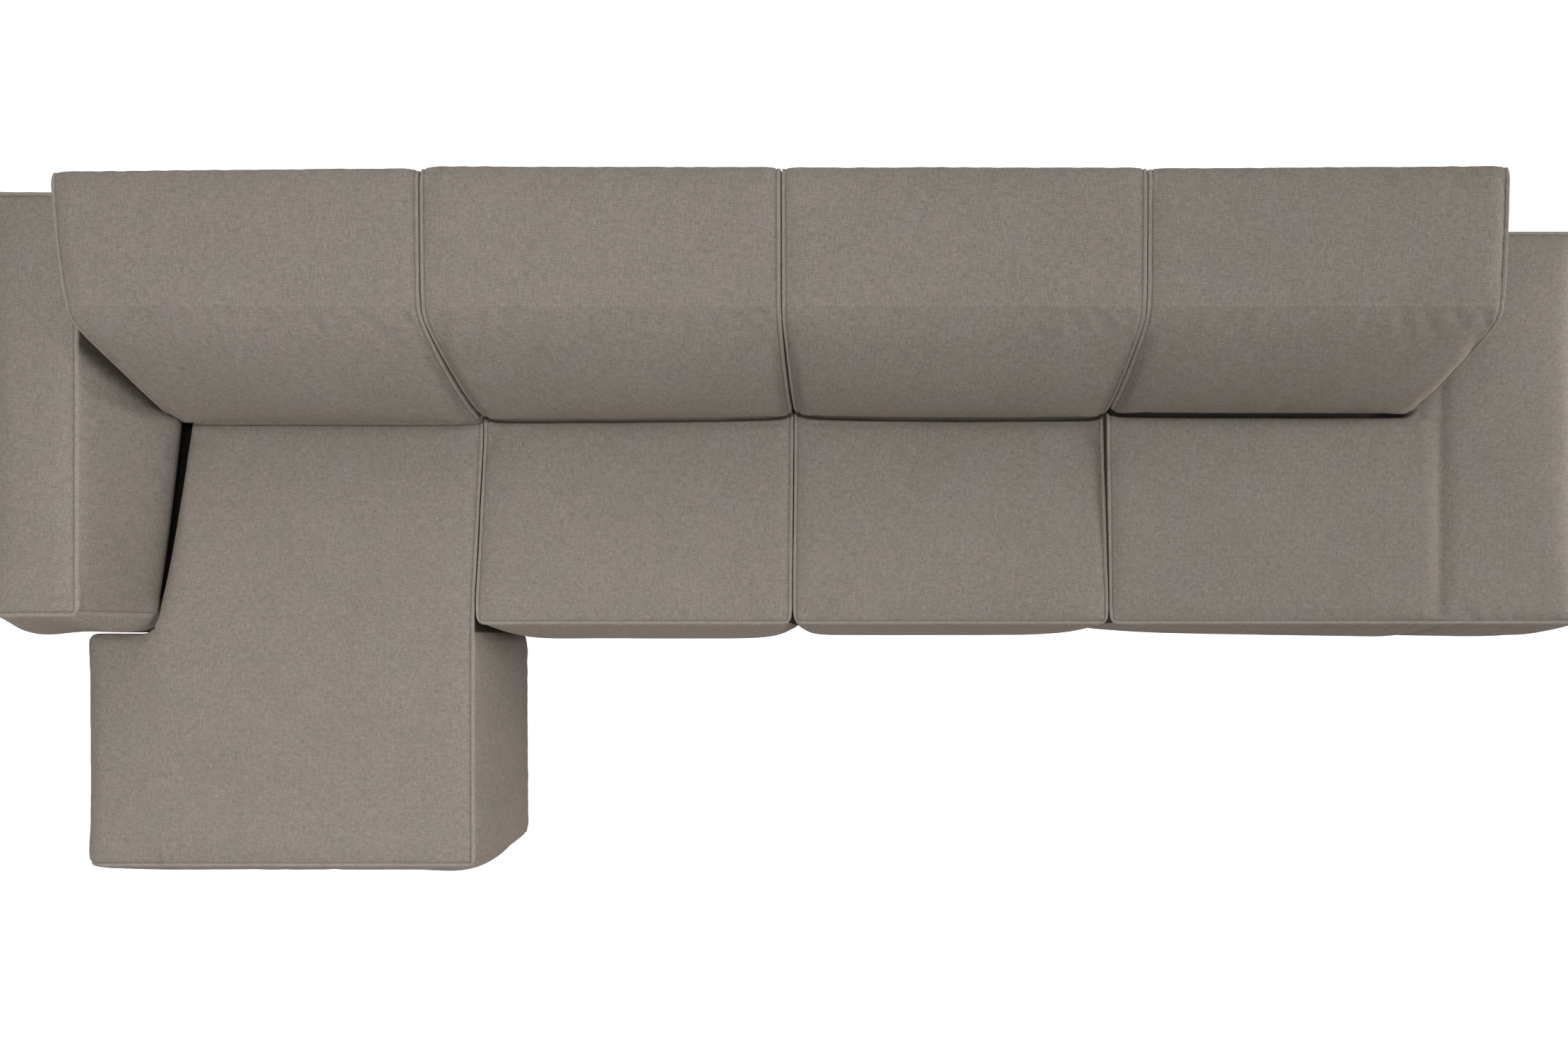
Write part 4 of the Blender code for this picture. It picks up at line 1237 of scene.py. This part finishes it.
def flap_base(sizes, seed):
    """Padded border of the base under the folding side."""
    inner, side, front = FLAP_BASE[0].x, RIGHT, MODULE_FRONT
    clearance = 0.0015
    top = FLAP_BASE[1].z - clearance
    left = SEAT["end"][0].x
    axes = (
        lines(inner, side, 2 * sizes.cell, FLUSH), lines(front, REAR, 2 * sizes.cell),
        lines(UNDERSIDE, top, sizes.cell),
    )

    def place(x, y, z):
        level = ramp(z, UNDERSIDE, END_TOP)
        ahead = np.where(y <= front, end_bulge(x, left, side) * swell(level), 0)
        out = np.where(x >= side, side_bulge(y, front, level), 0)
        drawn = corner_draw(x, y, (side, front), CORNER)
        return x + out - drawn, y - ahead + drawn, z

    cover = Cover("flap_base", axes, whole, place)
    cover.smooth(quilted(QUILT["flap_base"], seed))
    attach(dress(cover, ["flap_base_cover"]), "sofa")


def back(name, sizes, seed):
    """Back and headrest under one cover, which runs over the crease between them.

    The lattice runs across (x), over the top (a: 0 at the front's edge, 1 and 2 at the crease, 3 at
    the rear) and up (r: 0 at the foot, 1 at the top).
    """
    number = MODULES.index(name)
    left, right = PAD[name][0].x - SNUG, PAD[name][1].x + SNUG
    foot = BACK[name][0].z
    tall, deep_pad, brow = CREASE_TOP - foot, REAR - FOLD_END, 0.03
    turn = (PAD_UNDER - foot) / tall
    foot_draw_left = 0.036 if name == "chaise" else 0.0
    foot_draw_right = 0.03 if name == "end" else 0.0
    foot_lines = (0, 0.004, 0.01, 0.02)
    straight, curved = 0.48, 0.52
    belly_depth, foot_tuck, side_tuck = 0.014, 0.014, 0.007
    pad_crown, crease_rise, crease_dip = 0.004, 0.0006, 0.004
    roll_radius, foot_radius, corner_lift = 0.024, 0.022, 0.012
    bend_depth, bend_width = 0.003, 0.022
    runs = joined(
        np.linspace(0, 1, 7), np.linspace(1, 2, 13),
        2 + lines(0, deep_pad, sizes.cell, EDGE_LINES[:2], EDGE_LINES) / deep_pad,
    )
    rows = joined(
        lines(0, turn * tall, sizes.cell, foot_lines, FLUSH) / tall,
        np.append(lines(turn * tall, tall, sizes.cell, FLUSH, EDGE_LINES)[:-1] / tall, 1),
    )
    rows[np.argmin(np.abs(rows - turn))] = turn
    xs = lines(left, right, sizes.cell, SEAM_LINES, SEAM_LINES)

    def keep(x, a, r):
        return (a < 1) | (r > turn)

    def depth(x, a, r, across, to_side):
        """Place of the leaning front, the crease and the rear roll."""
        leaning = straight * r + curved * r**2
        deep = share(BACK_DEPTH + FOOT_FULLNESS[name], BACK_EDGE_DEPTH, leaning)
        belly = belly_depth * (1 - across**2) * 4 * r * (1 - r)
        rise = r * tall
        tuck = foot_tuck * quarter(rise, 0.011)
        tuck = tuck + FOOT_ROUNDING * quarter(to_side, SIDE_ROUNDING) * quarter(rise, 0.07)
        tuck += side_tuck * quarter(to_side, 0.035) * ramp(1 - r, 0.05, 0.4)
        tuck += foot_lift(name, x, left, right) * quarter(rise, 0.2)
        face = REAR - (deep + belly - tuck)
        notch_left, notch_right = REAR_NOTCH[name]
        near_left, near_right = quarter(x - left, SIDE_ROUNDING), quarter(right - x, SIDE_ROUNDING)
        rear = REAR + share(*REAR_FULLNESS[name], (across + 1) / 2)
        rear -= notch_left * near_left + notch_right * near_right
        front_run = share(face, FOLD_START, np.clip(a, 0, 1))
        crease_run = share(FOLD_START, FOLD_END, a - 1)
        return np.where(a < 1, front_run, np.where(a < 2, crease_run, share(FOLD_END, rear, a - 2)))

    def top_height(x, a, to_side):
        """Height of the top from the front's edge over the crease to the rear."""
        top = np.where(a < 1, share(BACK_EDGE_TOP, CREASE_TOP, np.clip(a, 0, 1)), CREASE_TOP)
        pad_rise = pad_crown * dome(x, left, right) * dome(a, 2, 3)
        top = np.where(a > 2, share(CREASE_TOP, PAD_REAR_TOP, a - 2) + pad_rise, top)
        off_crease = np.where(a < 1, (1 - a) * brow, np.clip(a - 2, 0, 1) * deep_pad)
        rise_from, rise_width, dip_width, dip_reach = 0.014, 0.008, 0.009, 0.02
        top = top + crease_rise * hump(off_crease - rise_from, rise_width)
        return top - crease_dip * hump(off_crease, dip_width) * hump(to_side, dip_reach)

    def place(x, a, r):
        across = 2 * (x - left) / (right - left) - 1
        to_side = np.minimum(x - left, right - x)
        y = depth(x, a, r, across, to_side)
        top = top_height(x, a, to_side)
        height = np.where(a <= 1, share(foot, top, r), share(PAD_UNDER, top, (r - turn) / (1 - turn)))
        rise, below = r * tall, (1 - r) * tall
        roll = edge_draw(np.hypot((3 - a) * deep_pad, below), roll_radius) * (a > 2)
        bend = bend_depth * hump(np.hypot(a * brow, below), bend_width) * np.clip(1.6 * (1 - a), 0, 1)
        draw = np.where(a <= 1, np.where(across > 0, foot_draw_right, foot_draw_left) * (1 - r), 0)
        draw_left, draw_right = CREASE_DRAW[name]
        drawn_in = draw_left * ramp(-across, 0.6, 1) + draw_right * ramp(across, 0.6, 1)
        draw += drawn_in * np.where(a <= 2, r + 2.4 * r * (1 - r), (3 - a) ** 2)
        lifted = corner_lift * quarter(to_side, 0.04) * quarter(rise, 0.03) * (a <= 1)
        nipped = edge_draw(np.hypot(to_side, rise), foot_radius) * np.sign(across) * (a <= 1)
        at_left, at_right = share(*BACK_WANDER[number], r), share(*BACK_WANDER[number + 1], r)
        strayed = share(at_left, at_right, (across + 1) / 2)
        aside = x - across * draw - nipped + strayed
        return aside, y - roll + 0.6 * bend, height - roll - 0.8 * bend + lifted

    def held(x, a, r):
        sides = (x <= left) | (x >= right)
        fold = (a >= 1 - HALF_STEP) & (a <= 2 + HALF_STEP)
        inside = (a >= 1 - HALF_STEP) & (r <= turn)
        return sides | fold | inside | (r <= 0) | ((a >= 3) & ((r <= turn) | (r >= 1)))

    brow_length, crease_end = 0.04, 0.05
    run_lengths = np.interp(runs, (0, 1, 2, 3), (0, brow_length, crease_end, crease_end + deep_pad))
    cloth_axes = (xs, run_lengths, rows * tall)
    cover = Cover(f"{name}_back", (xs, runs, rows), keep, place, cloth_axes, underside=False)
    x, a, r = cover.spots
    outside = (a <= 0) | (r >= 1) | (a >= 3)
    to_side = np.minimum(x - left, right - x)
    cover.sew(np.where(outside, to_side, 1), outside, sizes)
    # Painted shade: a dark line along the open sides and at the seams' foot, and soft dark zones beside
    # the inner seams
    margin = 0.1
    open_side = {"chaise": x < left + margin, "end": x > right - margin}.get(name, x < left)
    open_flank = ramp(1 - r, 0.08, 0.45) * (to_side < 0.003)
    flank = np.where(open_side, open_flank, ramp(1 - r, 0.88, 0.97) * (to_side <= 0))
    hollow_shade, hollow_middle, hollow_width = 0.3, 0.02, 0.012
    hollow = hollow_shade * hump(to_side - hollow_middle, hollow_width)
    hollow = hollow * dome(r, -0.1, 0.95) * ~open_side
    cover.mark("shade", np.where((a < 1) & (r < 1), np.maximum(flank, hollow), 0))
    cover.inflate(held, sizes.puff, sizes.frames)
    cover.smooth(quilted(QUILT["back"], seed))
    piece = dress(cover, [f"{name}_back_cushion", f"{name}_headrest_pad"])
    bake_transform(piece)
    seams = [
        stitch_row(cover, (seam, 0, 0), (seam, 0, 1), (seam, 3, 1), (seam, 3, turn))
        for seam in (left + STRIP, right - STRIP)
    ]
    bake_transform(stitches(f"{name}_back_stitches", seams, sizes))


def back_shell(name, sizes, seed):
    """Padded cover of a back's rear, sides and ledge."""
    low, high = SHELL[name]
    clearance, bulge = 0.0013, 0.006
    top = PAD_UNDER - clearance
    cell = 2 * sizes.cell
    axes = (lines(low.x, high.x, cell), lines(low.y, high.y, cell), lines(UNDERSIDE, top, cell))

    def place(x, y, z):
        out = bulge * dome(x, low.x, high.x, 4) * dome(z, UNDERSIDE, top, 4) * (y >= high.y)
        return x, y + out, z

    cover = Cover(f"{name}_back_shell", axes, whole, place)
    cover.smooth(quilted(QUILT["back_shell"], seed))
    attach(dress(cover, [f"{name}_back_cover"]), "sofa")


def arm(sizes, seed):
    """The box arm, whose foot stands out under its top on the seat's side."""
    left, inner = ARM_LEFT, ARM_INNER
    front, plane, top = ARM_FRONT, FOLD_START, ARM_TOP
    clearance, turn = 0.003, 0.02
    flank = SHELL["chaise"][0].x - clearance
    change = plane - turn
    ys = joined(
        lines(front, change, sizes.cell, SEAM_LINES, FLUSH), np.linspace(change, plane, 3),
        lines(plane, REAR, sizes.cell, FLUSH, SEAM_LINES),
    )
    xs = lines(left, inner, sizes.cell, SEAM_LINES, SEAM_LINES)
    zs = lines(UNDERSIDE, top, sizes.cell)
    crown, bulge, outer_fullness, inner_fullness = 0.005, 0.031, 0.02, 0.008
    outer_radius, outer_end, inner_end, full_from = 0.012, 0.02, 0.05, 0.62
    undercut, undercut_height = 0.035, 0.03

    def front_bulge(x, level):
        """Bulge of the arm's front, fuller high up towards both sides."""
        round_ends = 1 - quarter(x - left, outer_end) - quarter(inner - x, inner_end)
        fuller = share(outer_fullness, 0, ramp(x, left + 0.015, left + 0.06))
        fuller = fuller + inner_fullness * ramp(x, left + 0.12, left + 0.17)
        return (bulge * swell(level, 4) + fuller * dome(level, full_from, 1)) * round_ends

    def place(x, y, z):
        level = ramp(z, UNDERSIDE, top)
        across = (x - left) / (inner - left)
        domed = crown * dome(x, left, inner) * dome(y, front, REAR, OPEN_SIDE_POWER)
        height = share(UNDERSIDE, top + domed, level)
        drop = np.clip((top - height) / (top - SEAT_FRONT_TOP), 0, 1)
        reach = share(arm_reach(y), flank - inner, ramp(y, change, plane))
        under = undercut * ramp(SEAT_FRONT_TOP - 0.005 - height, 0, undercut_height)
        under = under * ramp(y, front, front + 0.06)
        reach = reach - under * ramp(BACK_FOOT + turn - y, 0, turn)
        out = np.where(x <= left, side_bulge(y, front, level), 0)
        ahead = np.where(y <= front, front_bulge(x, level), 0)
        drawn = corner_draw(x, y, (inner, front), WIDE_CORNER)
        outer_drawn = corner_draw(x, y, (left, front), outer_radius)
        aside = x + across * reach * drop - out - drawn + outer_drawn
        return aside, y - ahead + drawn + outer_drawn, height

    def held(x, y, z):
        rim = (z >= top) & ((x <= left) | (x >= inner) | (y <= front) | (y >= REAR))
        by_seat = (x >= inner) & ((z < SEAT_FRONT_TOP) | (y >= plane - 0.03))
        return rim | (z <= UNDERSIDE) | by_seat

    cover = Cover("arm", (xs, ys, zs), whole, place)
    x, y, z = cover.spots
    plan = np.minimum.reduce([x - left, inner - x, y - front, REAR - y])
    within = (x >= inner) & (z < top)
    sewn = (z >= top) | (within & (z > SEAT_FRONT_TOP) & (z < top - STRIP) & (y < front + 0.05))
    cover.sew(np.where(within, np.minimum(top - z, y - front), np.hypot(plan, top - z)), sewn, sizes)
    # Painted shade on the arm's inner face, where the back meets it and in the gap by the seat
    back_shade, foot_shade_low, foot_shade_high = 0.7, 0.9, 0.4
    behind_face, lean_power, shade_width, shade_height = 0.022, 1.3, 0.01, 0.03
    leaning = ramp(z, BACK["chaise"][0].z, BACK_EDGE_TOP) ** lean_power
    face = REAR + behind_face - share(BACK_DEPTH + FOOT_FULLNESS["chaise"], BACK_EDGE_DEPTH, leaning)
    beside_back = back_shade * fade(face - y, shade_width) * (z < top)
    above = foot_shade_high * fade(z - SEAT_FRONT_TOP, shade_height)
    low = np.where(z <= SEAT_FRONT_TOP, foot_shade_low, above)
    low *= ramp(y, front + 0.02, front + 0.06)
    cover.mark("shade", (x >= inner) * np.maximum(beside_back, low))
    firmness = 0.8
    cover.inflate(held, sizes.puff * firmness, sizes.frames)
    cover.smooth(quilted(QUILT["arm"], seed))
    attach(dress(cover, ["arm_cover"]), "sofa")
    near, far = front + STRIP, REAR - STRIP
    row = stitch_row(
        cover, (inner - STRIP, far, top), (inner - STRIP, near, top), (left + STRIP, near, top),
        (left + STRIP, far, top), (inner - STRIP, far, top),
    )
    down = stitch_row(cover, (inner, near, top), (inner, near, SEAT_FRONT_TOP))
    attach(stitches("arm_stitches", [row, down], sizes), "sofa")


# Operators


class SOFA_OT_seats(bpy.types.Operator):
    """Make the four seat covers with their seams"""

    bl_idname = "sofa.seats"
    bl_label = "Seats"

    def execute(self, context):
        sizes = context.scene.sofa_sizes
        chaise_seat("chaise", sizes, 1)
        middle_seat("middle_left", sizes, 2)
        middle_seat("middle_right", sizes, 3)
        end_seat("end", sizes, 4)
        flap_base(sizes, 5)
        return {"FINISHED"}


class SOFA_OT_backs(bpy.types.Operator):
    """Make the backs with their headrests, and the covers behind them"""

    bl_idname = "sofa.backs"
    bl_label = "Backs and headrests"

    def execute(self, context):
        sizes = context.scene.sofa_sizes
        for number, name in enumerate(MODULES):
            back(name, sizes, 11 + number)
            back_shell(name, sizes, 21 + number)
        return {"FINISHED"}


class SOFA_OT_arm(bpy.types.Operator):
    """Make the arm's cover with its seams"""

    bl_idname = "sofa.arm"
    bl_label = "Arm"

    def execute(self, context):
        arm(context.scene.sofa_sizes, 31)
        return {"FINISHED"}


class SOFA_OT_fittings(bpy.types.Operator):
    """Give the frames, webbing, hinges and feet their finishes"""

    bl_idname = "sofa.fittings"
    bl_label = "Frames and fittings"

    def execute(self, context):
        finishes = (
            ("base_frame", timber_finish), ("back_frame", timber_finish), ("arm_frame", timber_finish),
            ("webbing", webbing_finish), ("hinge", steel_finish), ("headrest_frame", steel_finish),
            ("flap_frame", steel_finish), ("connector", steel_finish), ("foot", plastic_finish),
            ("toe", plastic_finish),
        )
        for name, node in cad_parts.items():
            for word, finish in finishes:
                if word in name:
                    node.data.materials.clear()
                    node.data.materials.append(finish())
        return {"FINISHED"}


def make_world():
    """White to the camera, and a faint warm light on the sofa."""
    world = bpy.data.worlds.new("Studio")
    world.use_nodes = True
    kit = NodeKit(world.node_tree)
    seen = kit.add("ShaderNodeLightPath").outputs["Is Camera Ray"]
    kit.fill(world.node_tree.nodes["Background"], {
        "Color": kit.mix(seen, SKY_COLOUR, WHITE),
        "Strength": kit.level(seen, 0.0, 1.0, SKY_STRENGTH, 1.0),
    })
    return world


def make_light(name, spot, target, size, power):
    lamp = bpy.data.lights.new(name, "AREA")
    lamp.size = size
    lamp.energy = power
    lamp.color = LIGHT_COLOUR
    light = new_piece(name, lamp)
    light.location = spot
    light.rotation_euler = (Vector(target) - Vector(spot)).to_track_quat("-Z", "Y").to_euler()
    light.visible_camera = False


class SOFA_OT_stage(bpy.types.Operator):
    """Set the floor, the lights and the camera"""

    bl_idname = "sofa.stage"
    bl_label = "Studio"

    def execute(self, context):
        mesh = bpy.data.meshes.new("floor")
        reach = FLOOR_REACH
        corners = [(-reach, -reach, 0), (reach, -reach, 0), (reach, reach, 0), (-reach, reach, 0)]
        mesh.from_pydata(corners, [], [(0, 1, 2, 3)])
        mesh.materials.append(floor_finish())
        new_piece("floor", mesh)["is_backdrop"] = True

        scene = context.scene
        scene.world = make_world()
        for light in LIGHTS:
            make_light(*light)

        lens = bpy.data.cameras.new("Camera")
        lens.sensor_width = CAMERA_SENSOR
        lens.lens = CAMERA_LENS
        lens.shift_x, lens.shift_y = CAMERA_SHIFT
        scene.camera = new_piece("Camera", lens)
        scene.camera.location = CAMERA_PLACE
        scene.view_settings.view_transform = "Standard"
        return {"FINISHED"}


class SOFA_PT_panel(bpy.types.Panel):
    """Sidebar panel of the chaise sofa"""

    bl_idname = "SOFA_PT_panel"
    bl_label = "Chaise Sofa"
    bl_space_type = "VIEW_3D"
    bl_region_type = "UI"
    bl_category = "Sofa"

    def draw(self, context):
        for group in (context.scene.sofa_sizes, context.scene.sofa_colours):
            box = self.layout.box()
            for key in group.__annotations__:
                box.prop(group, key)
        for operator in OPERATORS:
            self.layout.operator(operator.bl_idname)


OPERATORS = (SOFA_OT_fittings, SOFA_OT_seats, SOFA_OT_backs, SOFA_OT_arm, SOFA_OT_stage)
CLASSES = (SofaSizes, SofaColours, *OPERATORS, SOFA_PT_panel)


def register():
    for item in CLASSES:
        bpy.utils.register_class(item)
    bpy.types.Scene.sofa_sizes = PointerProperty(type=SofaSizes)
    bpy.types.Scene.sofa_colours = PointerProperty(type=SofaColours)


def unregister():
    del bpy.types.Scene.sofa_colours
    del bpy.types.Scene.sofa_sizes
    for item in reversed(CLASSES):
        bpy.utils.unregister_class(item)


def main():
    register()
    for operator in OPERATORS:
        family, name = operator.bl_idname.split(".")
        getattr(getattr(bpy.ops, family), name)()
    boxes = {"cad": cad_box, "visual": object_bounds()}
    plain = {name: [[float(value) for value in corner] for corner in box] for name, box in boxes.items()}


if __name__ == "__main__":
    main()
